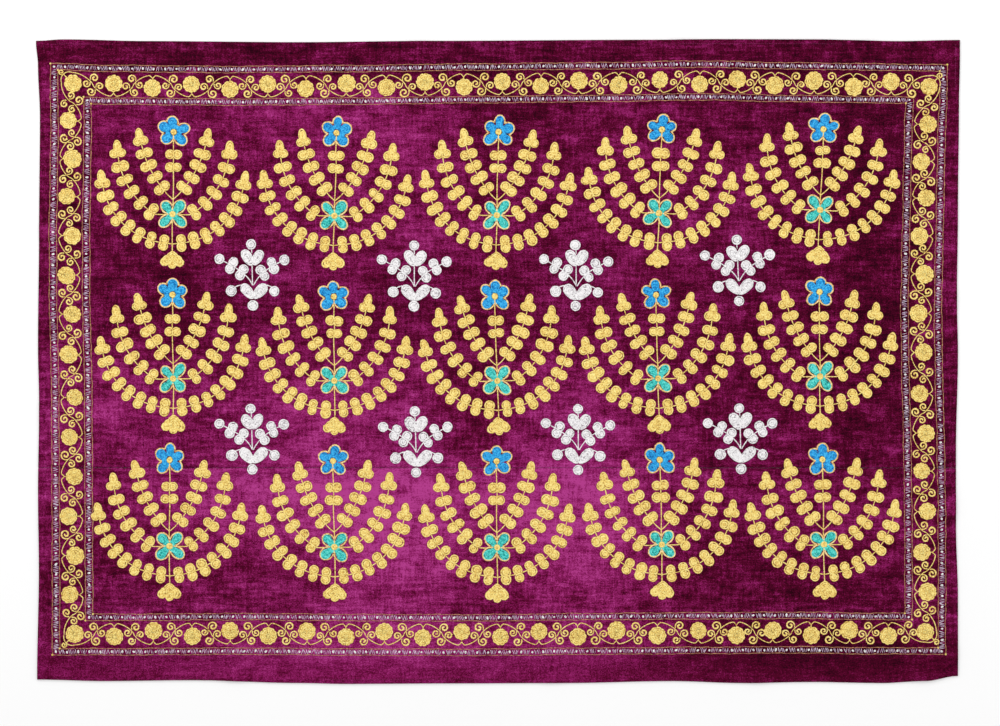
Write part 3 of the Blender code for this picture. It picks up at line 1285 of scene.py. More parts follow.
@dataclass
class Spray:
    """A golden spray: six arms of paired lobes, a blue and a green flower and a base fan."""

    place: SprayPlace
    golden: Needle
    outline: Needle
    blue: Needle
    green: Needle
    chance: np.random.Generator
    row: float = 4.4 * MM
    stem: float = 3.2 * MM
    tip_rise: float = 1.55 * MM
    lobe_radius: float = 11.6 * MM
    lobe_flat: float = 11.0 * MM
    lobe_off: float = 8.6 * MM
    hidden: float = 8.0 * MM
    pair_heights: tuple[float, float] = (107.5 * MM, 136.2 * MM)
    outline_width: float = 4.4 * MM
    foot: tuple[float, float] = (-10.0 * MM, -84.0 * MM)
    fan: float = -104.0 * MM
    tip_ahead: float = 15.6 * MM
    tip_shape: tuple[float, float, float] = (16.2 * MM, 9.7 * MM, -0.1)
    stem_rise: float = 0.9 * MM
    pad_rise: float = 0.7 * MM
    petal_rise: float = 1.1 * MM
    edge_rise: float = 1.35 * MM
    point_rise: float = 1.3 * MM
    eye_rise: float = 1.8 * MM
    uneven_turn: float = 0.12
    uneven_size: float = 0.07
    uneven_pair: float = 0.035
    sway: float = 0.9 * MM
    sway_length: float = 31.0 * MM

    def spot(self, x: float, y: float, turn: float = 0.0, scale: float = 1.0, loose: float = 0.5) -> Spot:
        """Return a place of the spray's own frame on the cloth, with a hand's unevenness.

        Args:
            x: across the spray.
            y: up the spray.
            turn: the shape's turn in the spray.
            scale: its scale.
            loose: how uneven it is; 0 for what has to meet.

        Returns:
            The spot on the cloth.
        """
        lean = np.arctan2(self.place.up_x, self.place.up_y)
        jitter = self.chance.standard_normal(5) * loose
        x = x + jitter[0] * MM
        y = y + jitter[1] * MM
        return Spot(
            self.place.x * MM + x * np.cos(lean) + y * np.sin(lean),
            self.place.y * MM + y * np.cos(lean) - x * np.sin(lean),
            turn - lean + jitter[2] * self.uneven_turn,
            scale * (1 + jitter[3] * self.uneven_size),
            scale * (1 + jitter[4] * self.uneven_size),
        )

    def twin(self, x: float, y: float, turn: float, scale: float = 1.0) -> None:
        """Sew a pair of lobes at a place, side by side along turn."""
        shape = lobe(self.lobe_radius, self.lobe_flat)
        scale = scale * (1 + self.uneven_pair * self.chance.standard_normal())
        for side in (0.0, np.pi):
            rows = fill(shape, self.row, self.golden.stitch, self.chance.random() * 6, np.pi)
            off = self.lobe_off * scale
            at = self.spot(x + off * np.cos(turn + side), y + off * np.sin(turn + side), turn + side, scale)
            self.golden.sew_all(rows, at, self.golden.rise * (1.15 if side else 0.95))

    def tip(self, x: float, y: float, turn: float) -> None:
        """Sew an arm's end: a smaller pair with a long lobe over it, pointing along turn."""
        self.twin(x, y, turn - np.pi / 2, 0.92)
        top = fill(egg(*self.tip_shape), self.row, self.golden.stitch, 0.0, np.pi)
        ahead = self.tip_ahead
        spot = self.spot(x + ahead * np.cos(turn), y + ahead * np.sin(turn), turn, loose=0.4)
        self.golden.sew_all(top, spot, self.tip_rise)

    def stalk(self, path: Array) -> None:
        """Sew one stem along a path of the spray's frame."""
        row = line(path, self.stem, self.golden.stitch)
        self.golden.sew(row, self.spot(0.0, 0.0, loose=0.0), self.stem_rise)

    def upright(self, high: float, low: float) -> None:
        """Sew the middle stem from one height down to another, swaying a little."""
        height = np.linspace(high, low, 24)
        sway = self.sway * np.sin(height / self.sway_length + self.chance.random() * 6)
        self.stalk(np.column_stack([sway, height]))

    def arm(self, arm: Arm, side: float) -> None:
        """Sew an arm on one side: stems between its pairs along the arc, its pairs, its tip.

        Args:
            arm: the arm's sizes.
            side: 1 for the right, -1 for the left.
        """

        def arc(angle: Array) -> Array:
            """Return the points of the arm's arc at these angles."""
            x = arm.middle_x + arm.radius * np.cos(angle)
            y = arm.middle_y + arm.radius * np.sin(angle)
            return np.column_stack([side * x, y]) * MM

        angles = np.radians(np.linspace(arm.first, arm.tip, arm.pairs + 1))
        places = arc(angles)
        gap = self.hidden / (arm.radius * MM)
        root = np.array([side * arm.root_x, arm.root_y]) * MM
        bend = np.array([side * arm.bend_x, arm.bend_y]) * MM
        self.stalk(bezier(root, bend, arc(angles[:1] - gap)[0]))
        for before, after in zip(angles[:-1], angles[1:]):
            self.stalk(arc(np.linspace(before + gap, after - gap, 12)))
        for number in range(arm.pairs):
            turn = angles[number] if side > 0 else np.pi - angles[number]
            self.twin(places[number, 0], places[number, 1], turn)
        way = angles[-1] + np.pi / 2
        self.tip(places[-1, 0], places[-1, 1], way if side > 0 else np.pi - way)

    def flower(self, needle: Needle, y: float, sizes: "Flower") -> None:
        """Sew a flower: its petals, the outline round them with its points, and its eye.

        Args:
            needle: the petals' yarn.
            y: the flower's middle, up the spray.
            sizes: the flower's sizes.
        """
        spot = self.spot(0.0, y, loose=0.2)
        petals = sizes.petals(self.chance)
        ring = polar(sizes.pad, np.linspace(0.0, FULL_TURN, 13)[:-1])
        needle.sew(Row(ring, np.full(12, sizes.pad), closed=True), spot, self.pad_rise)
        for petal in petals:
            rows = fill(petal.outline(sizes.border), sizes.row, needle.stitch, self.chance.random() * 6)
            at = spot.put(polar(petal.middle(), np.array([petal.turn])))[0]
            there = Spot(at[0], at[1], spot.turn + petal.turn, spot.along, spot.across)
            needle.sew_all(rows, there, self.petal_rise)
        edge = contour(petals, sizes.notch, self.outline_width, self.outline.stitch)
        self.outline.sew(edge, spot, self.edge_rise)
        for turn in np.radians(sizes.points):
            path = polar(np.linspace(sizes.notch, sizes.eye, 4), turn)
            wide = np.array([1.0, 0.9, 0.75, 0.6]) * sizes.point_width
            self.outline.sew(Row(path, wide), spot, self.point_rise)
        eye = fill(egg(sizes.eye, sizes.eye), sizes.eye * 0.6, self.golden.stitch)
        self.golden.sew_all(eye, Spot(spot.x, spot.y), self.eye_rise)

    def build(self) -> None:
        """Sew the whole spray."""
        top = np.hypot(self.place.up_x, self.place.up_y) * MM
        low, high = self.pair_heights
        self.upright(top, high + self.hidden)
        self.upright(high - self.hidden, low + self.hidden)
        self.upright(low - self.hidden, -self.foot[0])
        self.upright(*self.foot)
        for arm in ARMS:
            for side in (1.0, -1.0):
                self.arm(arm, side)
        for height in self.pair_heights:
            self.twin(0.0, height, 0.0, 0.98)
        fan = fill(clustered(FAN), self.row, self.golden.stitch, np.pi / 2)
        self.golden.sew_all(fan, self.spot(0.0, self.fan, loose=0.35))
        self.flower(self.blue, top, BLUE_FLOWER)
        self.flower(self.green, 0.0, GREEN_FLOWER)


@dataclass(frozen=True)
class Petal:
    """A petal: the angle at which it points, and from where to where its ellipse runs out
    from the eye's middle, with its half-width."""

    turn: float
    near: float
    far: float
    half_wide: float

    def middle(self) -> float:
        """Return how far the ellipse's middle is from the eye's."""
        return (self.near + self.far) / 2

    def outline(self, border: float) -> Outline:
        """Return the petal's own outline inside a border: a drop that is fuller outside."""
        return egg((self.far - self.near) / 2 - border * 0.5, self.half_wide - border, 0.25)


def contour(petals: Sequence[Petal], notch: float, width: float, stitch: float) -> Row:
    """Trace one outline round all the petals of a flower.

    Along each direction it is the farthest crossing with any petal's ellipse, which is
    the larger root of a quadratic, but never inside the notch; then half a row in.

    Args:
        petals: the flower's petals.
        notch: how near the eye the outline may come between two petals.
        width: the outline row's width.
        stitch: a stitch's length.

    Returns:
        The closed row.
    """
    turn = np.linspace(0.0, FULL_TURN, 720)
    off = turn[None, :] - np.array([[petal.turn] for petal in petals])
    middle = np.array([[petal.middle()] for petal in petals])
    half_long = np.array([[(petal.far - petal.near) / 2] for petal in petals])
    half_wide = np.array([[petal.half_wide] for petal in petals])
    square = np.cos(off) ** 2 / half_long**2 + np.sin(off) ** 2 / half_wide**2
    slope = -2.0 * middle * np.cos(off) / half_long**2
    rest = middle**2 / half_long**2 - 1.0
    inside = slope**2 - 4.0 * square * rest
    far = np.where(inside > 0, (-slope + np.sqrt(np.maximum(inside, 0))) / (2 * square), 0.0)
    reach = np.maximum(far.max(axis=0), notch) - width * 0.45
    points = polar(reach, turn)
    chosen = effort_stations(turn, points, stitch, 0.6)[:-1]
    at = along_path(chosen, turn, points)
    # The outline row is painted darker at its rim, as shade
    return Row(at, np.full(len(at), width), closed=True, rim=np.full(len(at), 0.8))


@dataclass(frozen=True)
class Flower:
    """A flower's sizes: its petals' angles in degrees, and those of the golden points
    that run in between them; the rest in metres."""

    turns: tuple[float, ...]
    points: tuple[float, ...]
    near: float
    far: float
    half_wide: float
    eye: float
    notch: float
    pad: float
    point_width: float
    row: float = 4.2 * MM
    border: float = 3.7 * MM
    uneven: tuple[float, float, float] = (3.5, 0.035, 0.05)

    def petals(self, chance: np.random.Generator) -> list[Petal]:
        """Return the petals, each a little off its angle, reach and width."""
        made = []
        for turn in self.turns:
            off = chance.standard_normal(3) * self.uneven
            half_wide = self.half_wide * (1 + off[2])
            made.append(Petal(np.radians(turn + off[0]), self.near, self.far * (1 + off[1]), half_wide))
        return made


BLUE_FLOWER = Flower(
    turns=(88.0, 25.0, 151.0, -46.0, -134.0),
    points=(-90.0,),
    near=5.0 * MM,
    far=38.0 * MM,
    half_wide=13.8 * MM,
    eye=7.5 * MM,
    notch=18.5 * MM,
    pad=13.5 * MM,
    point_width=4.2 * MM,
)
GREEN_FLOWER = Flower(
    turns=(51.0, 131.0, -139.0, -47.0),
    points=(91.0, 178.0, -2.0, -93.0),
    near=5.5 * MM,
    far=40.5 * MM,
    half_wide=13.4 * MM,
    eye=8.0 * MM,
    notch=15.0 * MM,
    pad=10.5 * MM,
    point_width=5.2 * MM,
)
# The fan's discs: middle and radius
FAN = np.array([
    (-17.8, -5.0, 9.8), (16.9, -5.5, 10.0), (0.0, -12.1, 9.3), (-10.2, -0.3, 12.2), (10.2, -0.3, 12.2),
    (0.0, 6.8, 13.4), (0.0, 16.4, 5.5),
]) * MM


@dataclass(frozen=True)
class Dot:
    """A round or oval mark of a sprig, in mm and degrees: a dot or a heart's petal."""

    x: float
    y: float
    half_long: float
    half_wide: float
    turn: float = 0.0
    fuller: float = 0.0
    meets: float | None = None


SPRIG_DOTS = tuple(Dot(*row) for row in (
    (-3.9, 93.4, 12.3, 12.3), (-12.2, 63.6, 21.2, 12.8, 120.0, 0.14, -90.0),
    (9.8, 63.8, 21.6, 12.8, 58.0, 0.14, 90.0), (-76.3, 60.6, 12.2, 12.2), (70.6, 57.4, 12.8, 12.8),
    (-14.2, -13.6, 23.0, 12.8, 130.0, 0.2, -120.0), (14.4, -14.2, 24.0, 12.8, 45.0, 0.2, 120.0),
    (-49.2, -12.1, 13.6, 13.6), (47.6, -14.1, 12.9, 12.9), (-2.3, -45.0, 12.7, 12.7),
))


# The paired lobes of a sprig: middle in mm, and the angle of their line in degrees
SPRIG_PAIRS = ((-26.1, 30.4, 57.0), (-48.7, 45.9, 63.0), (20.9, 28.7, -55.0), (44.4, 45.1, -67.0))


# The thin stems of a sprig: start, the bend that each is drawn towards, and end
SPRIG_STEMS = np.array([
    (-2.0, 0.0, -2.5, 24.0, -2.6, 46.0), (-2.8, 74.0, -3.4, 80.0, -3.9, 88.0),
    (-2.0, 0.0, -8.0, 16.0, -26.0, 30.5), (-26.0, 30.5, -40.0, 42.0, -76.3, 60.6),
    (0.0, 0.0, 8.0, 15.0, 21.0, 28.5), (21.0, 28.5, 36.0, 40.0, 70.6, 57.4),
    (-20.0, 1.0, -36.0, 3.0, -48.0, -8.0), (22.0, 1.0, 37.0, 1.0, 47.0, -9.0),
]) * MM


@dataclass
class Sprig:
    """A white sprig between the sprays: hearts, paired lobes and dots on thin stems."""

    x: float
    y: float
    white: Needle
    chance: np.random.Generator
    row: float = 4.4 * MM
    stem: float = 3.2 * MM
    lobe_radius: float = 12.0 * MM
    lobe_flat: float = 11.2 * MM
    lobe_off: float = 8.6 * MM
    stem_rise: float = 0.9 * MM
    uneven_place: float = 0.5 * MM
    size: float = 0.955
    uneven_size: float = 0.03
    uneven_lean: float = 0.02

    def mark(
        self, shape: Outline, lean: Spot, x: float, y: float, turn: float, meets: float | None = None
    ) -> None:
        """Sew one filled shape of the sprig, a little off its place and size."""
        jitter = self.chance.standard_normal(4)
        at = lean.put(np.array([[x, y]]))[0] + jitter[:2] * self.uneven_place
        along, across = self.size + self.uneven_size * jitter[2:]
        spot = Spot(at[0], at[1], lean.turn + turn, along, across)
        rows = fill(shape, self.row, self.white.stitch, self.chance.random() * 6, meets)
        self.white.sew_all(rows, spot)

    def build(self) -> None:
        """Sew the stems first, then the marks over their ends."""
        lean = Spot(self.x * MM, self.y * MM, self.chance.standard_normal() * self.uneven_lean)
        for stem in SPRIG_STEMS:
            path = bezier(*stem.reshape(3, 2))
            self.white.sew(line(path, self.stem, self.white.stitch), lean, self.stem_rise)
        for x, y, turn in SPRIG_PAIRS:
            for way in (np.radians(turn), np.radians(turn) + np.pi):
                lobe_x = x * MM + self.lobe_off * np.cos(way)
                lobe_y = y * MM + self.lobe_off * np.sin(way)
                self.mark(lobe(self.lobe_radius, self.lobe_flat), lean, lobe_x, lobe_y, way, np.pi)
        for dot in SPRIG_DOTS:
            shape = egg(dot.half_long * MM, dot.half_wide * MM, dot.fuller)
            meets = None if dot.meets is None else np.radians(dot.meets)
            self.mark(shape, lean, dot.x * MM, dot.y * MM, np.radians(dot.turn), meets)


SPRIG_PLACES = (
    (-557.0, 173.3), (-188.6, 170.6), (180.2, 171.5), (550.0, 183.4),
    (-557.4, -201.1), (-184.5, -207.1), (185.0, -201.6), (555.0, -199.1),
)


class Side(Enum):
    """The border's sides, in the order in which one goes round."""

    TOP = 0
    LEFT = 1
    BOTTOM = 2
    RIGHT = 3


@dataclass(frozen=True)
class Lines:
    """A rectangle that a border runs round, in mm: where its four centre lines lie."""

    left: float
    right: float
    bottom: float
    top: float

    def span(self, side: Side) -> tuple[Array, Array, Array, Array]:
        """Find where one side runs, anticlockwise round the cloth as seen from above.

        Args:
            side: which side.

        Returns:
            Its start and its end in metres, the way along it and the way out of the cloth.
        """
        left, right, bottom, top = self.left, self.right, self.bottom, self.top
        corners = np.array([(right, top), (left, top), (left, bottom), (right, bottom)]) * MM
        start, end = corners[side.value], corners[(side.value + 1) % 4]
        way = (end - start) / np.hypot(*(end - start))
        return start, end, way, np.array([way[1], -way[0]])


@dataclass
class VineBorder:
    """The border's rosettes, and the vine with its curls that winds between them."""

    golden: Needle
    vine: Needle
    chance: np.random.Generator
    lines: Lines = Lines(-972.9, 968.8, -619.4, 631.5)
    off: float = 6.2 * MM
    radius: float = 20.6 * MM
    scallops: int = 9
    scallop_depth: float = 0.12
    row: float = 4.0 * MM
    vine_width: float = 2.7 * MM
    curl_width: float = 4.4 * MM
    rise: float = 1.0 * MM
    wave: float = 24.6 * MM
    cusp: float = 0.28
    cusp_width: float = 0.048
    stem_under: float = 3.0 * MM
    link_over: float = 4.0 * MM
    uneven_place: float = 0.9 * MM
    uneven_size: float = 0.025
    uneven_shape: float = 0.03
    uneven_curl: tuple[float, float] = (0.5, 0.05)
    corner_bulge: float = 4.0 * MM
    corner_curl: float = 34.6 * MM
    counts: tuple[tuple[Side, int], ...] = (
        (Side.TOP, 22), (Side.LEFT, 14), (Side.BOTTOM, 22), (Side.RIGHT, 14)
    )

    def lay(self, path: Array, width: float, sharpest: float = 0.5) -> None:
        """Sew one line of the vine's yarn along a path."""
        self.vine.sew(line(path, width, self.vine.stitch, sharpest), AS_DRAWN, self.rise)

    def rosette(self, at: Array) -> None:
        """Sew one rosette: scalloped rows, one inside the other."""
        jitter = self.chance.standard_normal(5)
        scallops = self.scallops + int(self.chance.integers(3))
        shape = scalloped(self.radius, scallops, self.scallop_depth)
        rows = fill(shape, self.row, self.golden.stitch)
        x, y = at + jitter[:2] * self.uneven_place
        size = 1 + self.uneven_size * jitter[2]
        wide = size * (1 + self.uneven_shape * jitter[4])
        self.golden.sew_all(rows, Spot(x, y, jitter[3], size, wide))

    def sway(self, part: Array, cusps: tuple[float, float]) -> Array:
        """Return the vine's offset from one rosette to the next, as shares of its wave.

        It follows a flattened cosine, cos(pi t) to the power 0.7, and dips towards the
        rosette in a cusp at its ends.

        Args:
            part: the share of the way to the next rosette.
            cusps: 1 or 0 for each end, whether the vine dips there.

        Returns:
            The offset, from 1 to -1.
        """
        swing = np.cos(np.pi * part)
        flat = np.sign(swing) * np.abs(swing) ** 0.7
        near = np.exp(-((part / self.cusp_width) ** 2)) * cusps[0]
        far = np.exp(-(((1 - part) / self.cusp_width) ** 2)) * cusps[1]
        return flat * (1 - self.cusp * (near + far))

    def stretch(
        self, start: Array, end: Array, outward: Array, passes: float, cusps: tuple[float, float]
    ) -> None:
        """Sew the vine and its four curls between two rosettes.

        Args:
            start: the first rosette's place on the centre line.
            end: the next one's.
            outward: the way out of the cloth there.
            passes: 1 if the vine passes outside the first rosette, -1 if inside it.
            cusps: 1 or 0 for each end, whether the vine dips there.
        """
        part = np.linspace(0.0, 1.0, 90)
        offset = np.outer(self.wave * passes * self.sway(part, cusps), outward)
        self.lay(start + np.outer(part, end - start) + offset, self.vine_width)
        middle = (start + end) / 2
        way = (end - start) / np.hypot(*(end - start))
        # The chart climbs with the way; a falling stretch is its mirror image
        up = -outward * passes
        for curl in CURLS:
            shift = self.chance.standard_normal(2) * self.uneven_curl[0]
            at = middle + way * (curl.x + shift[0]) * MM + up * (curl.y + shift[1]) * MM
            self.curl(at, way, up, curl)

    def curl(self, at: Array, way: Array, up: Array, curl: "Curl") -> None:
        """Sew one curl, a spiral of one and a half turns that ends in a small eye.

        With t from 0 to 1 its radius is 1.5 + 6.0 (1 - ease((t - 0.3) / 0.6)) +
        1.8 exp(-t / 0.06) mm: it leaves the vine wide, runs round and then winds in.

        Args:
            at: the curl's middle.
            way: the chart's right, as a direction on the cloth.
            up: the chart's up.
            curl: its size, and the angle at which it leaves the vine.
        """
        size = curl.size * (1 + self.uneven_curl[1] * self.chance.standard_normal())
        part = np.linspace(0.0, 1.0, 80)
        reach = (1.5 + 6.0 * (1 - ease((part - 0.3) / 0.6)) + 1.8 * np.exp(-part / 0.06)) * MM * size
        angle = np.radians(curl.begin) + part * 1.5 * FULL_TURN
        path = at + np.outer(reach * np.cos(angle), way) + np.outer(reach * np.sin(angle), up)
        row = line(path, self.curl_width * curl.size**0.5, self.vine.stitch, 0.6)
        grow = 0.7 + 0.42 * ease(np.linspace(0.0, 1.8, len(row.width)))
        self.vine.sew(Row(row.path, row.width * grow), AS_DRAWN, self.rise)

    def stalk(self, at: Array, outward: Array, far: float) -> None:
        """Sew the short stem from the vine to a rosette's rim."""
        near = self.radius - self.off - self.stem_under
        self.lay(at + np.outer(np.linspace(far, near, 8), outward), self.vine_width)

    def corner(self, at: Array, outward: Array, way: Array) -> None:
        """Sew the vine's bow round a corner's rosette, and the small curl at its outside.

        Args:
            at: the corner rosette's place.
            outward: the way out of the side that begins here.
            way: that side's direction, whose reverse is the way out of the side before.
        """
        turn = np.linspace(0.0, np.pi / 2, 30)
        reach = self.wave + self.corner_bulge * np.sin(2 * turn)
        bow = at + np.outer(reach * np.cos(turn), -way) + np.outer(reach * np.sin(turn), outward)
        self.lay(bow, self.vine_width)
        aslant = (outward - way) / 2**0.5
        beside = np.array([-aslant[1], aslant[0]])
        link = np.outer(np.linspace(self.wave + self.link_over, self.radius - self.stem_under, 6), aslant)
        self.lay(at + link, self.vine_width * 1.2)
        self.curl(at + aslant * self.corner_curl, beside, aslant, Curl(0.0, 0.0, -115.0, 0.74))

    def slipped(self, at: Array) -> Array:
        """Return a place of the centre lines moved along its side, or sides at a corner."""
        x, y = at
        level = SLIP.top if y > 0 else SLIP.bottom
        upright = SLIP.right if x > 0 else SLIP.left
        on_level = min(abs(y / MM - line) for line in (self.lines.bottom, self.lines.top)) < 1.0
        on_upright = min(abs(x / MM - line) for line in (self.lines.left, self.lines.right)) < 1.0
        slip_x = float(read_along(level, np.array([x]))[0]) if on_level else 0.0
        slip_y = float(read_along(upright, np.array([y]))[0]) if on_upright else 0.0
        return at + np.array([slip_x, slip_y])

    def build(self) -> None:
        """Go round the four sides, a rosette and a stretch of vine at a time."""
        for side, count in self.counts:
            start, end, way, outward = self.lines.span(side)
            for number in range(count):
                here = self.slipped(start + (end - start) * number / count)
                ahead = self.slipped(start + (end - start) * (number + 1) / count)
                passes = 1.0 if number % 2 == 0 else -1.0
                if number == 0:
                    self.rosette(here)
                    self.corner(here, outward, way)
                else:
                    self.rosette(here - outward * self.off * passes)
                    self.stalk(here, outward * passes, self.wave * (1 - self.cusp))
                cusps = (float(number > 0), float(number < count - 1))
                self.stretch(here, ahead, outward, passes, cusps)


@dataclass(frozen=True)
class Curl:
    """A curl where the vine climbs to the right: its middle from the crossing in mm, the
    angle in degrees at which it leaves the vine, and its size."""

    x: float
    y: float
    begin: float
    size: float


CURLS = (
    Curl(-3.3, 15.9, -33.0, 1.08),
    Curl(3.3, -15.9, 147.0, 1.08),
    Curl(-14.7, -2.6, -30.0, 0.94),
    Curl(14.7, 1.6, 150.0, 0.97),
)


@dataclass
class GuardBand:
    """A narrow band: two copper lines with white dots and slanted lilac strokes between."""

    copper: Needle
    lilac: Needle
    white: Needle
    golden: Needle
    chance: np.random.Generator
    lines: Lines
    gap_level: float = 14.6 * MM
    gap_upright: float = 17.0 * MM
    line_width: float = 1.8 * MM
    line_step: float = 3.6 * MM
    pitch: float = 25.2 * MM
    dot_long: float = 3.4 * MM
    dot_wide: float = 2.5 * MM
    stroke: float = 1.45 * MM
    stroke_share: float = 0.34
    stroke_pitch: float = 3.5 * MM
    stroke_lean: float = 1.6 * MM
    uneven: float = 0.12
    line_rise: float = 0.7 * MM
    dot_rise: float = 0.9 * MM
    stroke_rise: float = 0.75 * MM
    dot_row: float = 2.6 * MM
    dot_stitch: float = 3.4 * MM
    corner_dot: float = 2.4 * MM
    corner_stitch: float = 3.0 * MM
    corner_rise: float = 1.0 * MM
    uneven_dot: tuple[float, float] = (0.7 * MM, 0.4 * MM)
    uneven_turn: float = 0.5
    uneven_stroke: float = 0.55 * MM

    def gap(self, outward: Array) -> float:
        """Return how far apart the two lines of a side are."""
        return self.gap_level if abs(outward[1]) > 0.5 else self.gap_upright

    def rule(self, start: Array, end: Array, way: Array, outward: Array) -> None:
        """Sew the two copper lines of one side, with a slight waver, up to the next side's."""
        long = np.hypot(*(end - start))
        count = int(long / self.line_step)
        part = np.linspace(0.0, 1.0, count)[:, None]
        for side in (-0.5, 0.5):
            grow = way * side * self.gap(way)
            phase = self.chance.random(3) * 6
            waver = sum(
                np.sin(part * long / (wave * MM) + shift) * size * MM
                for wave, shift, size in zip((3.4, 7.0, 24.0), phase, (0.3, 0.45, 0.5))
            )
            off = outward * (side * self.gap(outward) + waver)
            path = (start - grow) + (end - start + 2 * grow) * part + off
            number = np.arange(count)
            wide = self.line_width * np.where(number % 2 == 1, 1.15, 0.8)
            self.copper.sew(Row(path, wide), AS_DRAWN, self.line_rise)

    def marks(self, start: Array, end: Array, way: Array, outward: Array) -> None:
        """Sew the dots of one side at an even pitch, and a slanted figure in each gap."""
        long = np.hypot(*(end - start))
        count = round(long / self.pitch)
        step = long / count
        for number in range(count):
            jitter = self.chance.standard_normal(6)
            beside, out = jitter[:2] * self.uneven_dot
            at = start + way * (number * step + beside) + outward * out
            long_way = self.dot_long * (1 + self.uneven * jitter[2])
            eye = fill(egg(long_way, self.dot_wide), self.dot_row, self.dot_stitch)
            across = np.arctan2(outward[1], outward[0]) + self.uneven_turn * jitter[3]
            self.white.sew_all(eye, Spot(at[0], at[1], across), self.dot_rise)
            middle = start + way * (number + 0.5) * step
            half = outward * self.gap(outward) * self.stroke_share
            leans = LEANS[self.chance.integers(len(LEANS))]
            for place, lean in enumerate(leans):
                along = (place - (len(leans) - 1) / 2) * self.stroke_pitch
                self.mark(middle + way * along, way * lean * self.stroke_lean, half)

    def mark(self, at: Array, lean: Array, rise: Array) -> None:
        """Sew one stroke, each end a little off.

        Args:
            at: the stroke's middle.
            lean: how far its outer end leans over along the side.
            rise: how far it reaches out.
        """
        off = self.chance.standard_normal((2, 2)) * self.uneven_stroke
        path = np.linspace(at - lean - rise + off[0], at + lean + rise + off[1], 3)
        wide = np.array([0.85, 1.2, 0.85]) * self.stroke * (1 + self.uneven * self.chance.standard_normal())
        self.lilac.sew(Row(path, wide), AS_DRAWN, self.stroke_rise)

    def build(self) -> None:
        """Sew all four sides, with a small golden dot over each line's corners."""
        for side in Side:
            start, end, way, outward = self.lines.span(side)
            self.rule(start, end, way, outward)
            self.marks(start, end, way, outward)
            for half in (-0.5, 0.5):
                corner = start + outward * self.gap(outward) * half - way * self.gap(way) * half
                dot = fill(egg(self.corner_dot, self.corner_dot), self.corner_dot, self.corner_stitch)
                self.golden.sew_all(dot, Spot(corner[0], corner[1]), self.corner_rise)


# Which way the strokes between two dots lean: 1 along the side, -1 back
LEANS = (
    (1, 1, 1, 1, 1), (1, 1, 1, -1, 1), (1, -1, 1, 1), (-1, -1, -1, 1, 1), (1, 1, 0, -1), (-1, 1, 1, 1, -1),
)


@dataclass
class HemStitch:
    """The row of plain stitches that holds the turned hem, in the velvet's own colour."""

    needle: Needle
    inset: float = 10.2 * MM
    inset_left: float = 17.0 * MM
    dash: float = 3.4 * MM
    pitch: float = 5.0 * MM
    rise: float = 0.35 * MM

    def build(self) -> None:
        """Lay separate dashes at an even pitch along the four hems."""
        left = -CLOTH.length / 2 + self.inset_left
        right = CLOTH.length / 2 - self.inset
        low = -CLOTH.width / 2 + self.inset
        high = CLOTH.width / 2 - self.inset
        runs = np.array([
            [(left, high), (right, high)], [(left, low), (right, low)],
            [(left, low), (left, high)], [(right, low), (right, high)],
        ])
        for start, end in runs:
            count = int(np.hypot(*(end - start)) / self.pitch)
            part = (np.arange(count) + 0.5) / count
            way = (end - start) / (count * self.pitch)
            for at in start + np.outer(part, end - start):
                path = at + np.outer(np.array([-0.5, 0.0, 0.5]) * self.dash, way)
                dash = Row(self.follow(path), np.array([0.7, 1.1, 0.7]) * MM)
                self.needle.sew(dash, AS_DRAWN, self.rise)

    def follow(self, flat: Array) -> Array:
        """Move flat points with the cloth's outline."""
        x = flat[:, 0]
        y = flat[:, 1]
        inward = np.where(y > 0, -read_along(EDGES.top, x), read_along(EDGES.bottom, x))
        return np.column_stack([x + CLOTH.pull(x, y), y + inward * np.abs(y) / (CLOTH.width / 2)])


@dataclass(frozen=True)
class Lamp:
    """A square soft light: its name, where it hangs, its side and its power in watts."""

    name: str
    at: tuple[float, float, float]
    size: float
    power: float

    def hang(self) -> None:
        """Hang the lamp so that it looks at the cloth's middle."""
        light = bpy.data.lights.new(self.name, "AREA")
        light.shape = "SQUARE"
        light.size = self.size
        light.energy = self.power
        made = add_object(self.name, light)
        made.location = self.at
        made.rotation_mode = "QUATERNION"
        made.rotation_quaternion = (-made.location.normalized()).to_track_quat("-Z", "Y")


@dataclass
class Studio:
    """A pale floor, soft lights and a camera straight above the cloth."""

    lens: float = 85.0
    sensor: float = 36.0
    shown_width: float = 2.278
    centre_x: float = 4.6 * MM
    centre_y: float = -3.4 * MM
    floor_size: float = 14.0
    floor_z: float = -0.4 * MM
    room: float = 0.81
    lamps: tuple[Lamp, ...] = (
        Lamp("key", (-2.4, 2.6, 2.6), 1.8, 58.0), Lamp("side", (3.0, 1.2, 2.4), 2.4, 26.0)
    )

    def floor(self) -> None:
        """Lay the floor just under the cloth."""
        half = self.floor_size / 2
        corners = [(-half, -half), (half, -half), (half, half), (-half, half)]
        mesh = bpy.data.meshes.new("floor")
        mesh.from_pydata([(x, y, self.floor_z) for x, y in corners], [], [(0, 1, 2, 3)])
        mesh.materials.append(FloorFinish().material())
        made = add_object("floor", mesh)

    def world(self) -> None:
        """Light the room evenly from all round."""
        world = bpy.data.worlds.new("soft_room")
        world.use_nodes = True
        background = world.node_tree.nodes["Background"]
        background.inputs["Color"].default_value = (1.0, 1.0, 1.0, 1.0)
        background.inputs["Strength"].default_value = self.room
        bpy.context.scene.world = world

    def camera(self) -> None:
        """Set the camera so that the picture's width covers the photo's, at the cloth."""
        data = bpy.data.cameras.new("above")
        data.lens = self.lens
        data.sensor_width = self.sensor
        made = add_object("above", data)
        height = self.shown_width * self.lens / self.sensor + CLOTH.velvet
        made.location = (self.centre_x, self.centre_y, height)
        bpy.context.scene.camera = made

    def build(self) -> None:
        """Make the studio."""
        self.floor()
        self.world()
        for lamp in self.lamps:
            lamp.hang()
        self.camera()
        bpy.context.scene.view_settings.view_transform = "Standard"


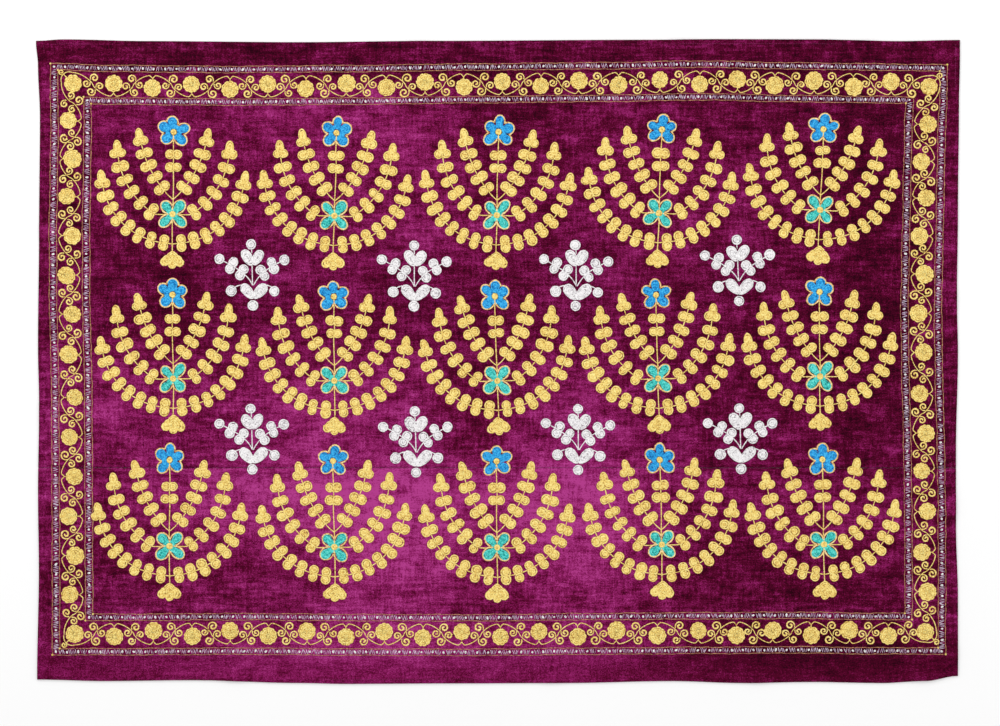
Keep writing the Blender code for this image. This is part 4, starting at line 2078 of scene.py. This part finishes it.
# The yarns of a spray, each with its seed and its pieces' name
SPRAY_YARNS = (
    (Thread.GOLDEN, 31, "sprays_gold"), (Thread.OUTLINE, 41, "flower_outlines"),
    (Thread.BLUE, 51, "blue_petals"), (Thread.TURQUOISE, 61, "turquoise_petals"),
)


def sew_sprays() -> None:
    """Sew the fifteen sprays, one set of pieces for each row of five."""
    chance = np.random.default_rng(21)
    for row, places in enumerate(SPRAY_ROWS):
        needles = [Needle(thread, seed=seed + row) for thread, seed, _ in SPRAY_YARNS]
        for place in places:
            Spray(place, *needles, chance).build()
        for needle, (_, _, name) in zip(needles, SPRAY_YARNS):
            needle.finish(f"{name}_{row + 1}")


def sew_sprigs() -> None:
    """Sew the eight white sprigs as one piece."""
    chance = np.random.default_rng(23)
    white = Needle(Thread.WHITE, seed=71)
    for x, y in SPRIG_PLACES:
        Sprig(x, y, white, chance).build()
    white.finish("white_sprigs")


# The pieces of the border, each with its yarn, its seed and how uneven its tone is
BORDER_YARNS = (
    ("border_rosettes", Thread.GOLDEN, 81, 0.12), ("border_vine", Thread.GOLDEN, 83, 0.12),
    ("guard_lines", Thread.COPPER, 85, 0.12), ("guard_strokes", Thread.LILAC, 87, 0.3),
    ("guard_dots", Thread.WHITE, 89, 0.12), ("guard_corner_dots", Thread.GOLDEN, 91, 0.12),
)
GUARD_LINES = (Lines(-1010.1, 1007.8, -659.7, 670.9), Lines(-934.7, 931.5, -581.1, 596.6))


def sew_border() -> None:
    """Sew the rosettes, the vine and the two guard bands."""
    chance = np.random.default_rng(25)
    needles = [
        Needle(thread, strays=True, seed=seed, uneven=uneven) for _, thread, seed, uneven in BORDER_YARNS
    ]
    VineBorder(*needles[:2], chance).build()
    for lines in GUARD_LINES:
        GuardBand(*needles[2:], chance, lines).build()
    for needle, (name, *_) in zip(needles, BORDER_YARNS):
        needle.finish(name)


def lay_velvet() -> None:
    """Lay the two velvet panels and stitch their hem."""
    pile = VelvetFinish().material()
    weave = WeaveFinish().material()
    above = CLOTH.seam_y + CLOTH.seam_gap / 2
    below = CLOTH.seam_y - CLOTH.seam_gap / 2
    edge = CLOTH.width / 2
    panels = (
        Panel("velvet_upper_cloth", "velvet_upper", above, edge, False, True),
        Panel("velvet_lower_cloth", "velvet_lower", -edge, below, True, False),
    )
    for panel in panels:
        made = panel.build(pile, weave)
        LOG.info("%s: %d faces", made.name, len(made.data.polygons))
    hem = Needle(Thread.HEM, seed=93, sink=0.05 * MM)
    HemStitch(hem).build()
    hem.finish("hem_stitches")


def main() -> None:
    """Build the cloth, its sewing and the studio, in that order."""
    logging.basicConfig(level=logging.INFO, format="%(name)s %(message)s")
    lay_velvet()
    sew_sprays()
    sew_sprigs()
    sew_border()
    Studio().build()


if __name__ == "__main__":
    main()
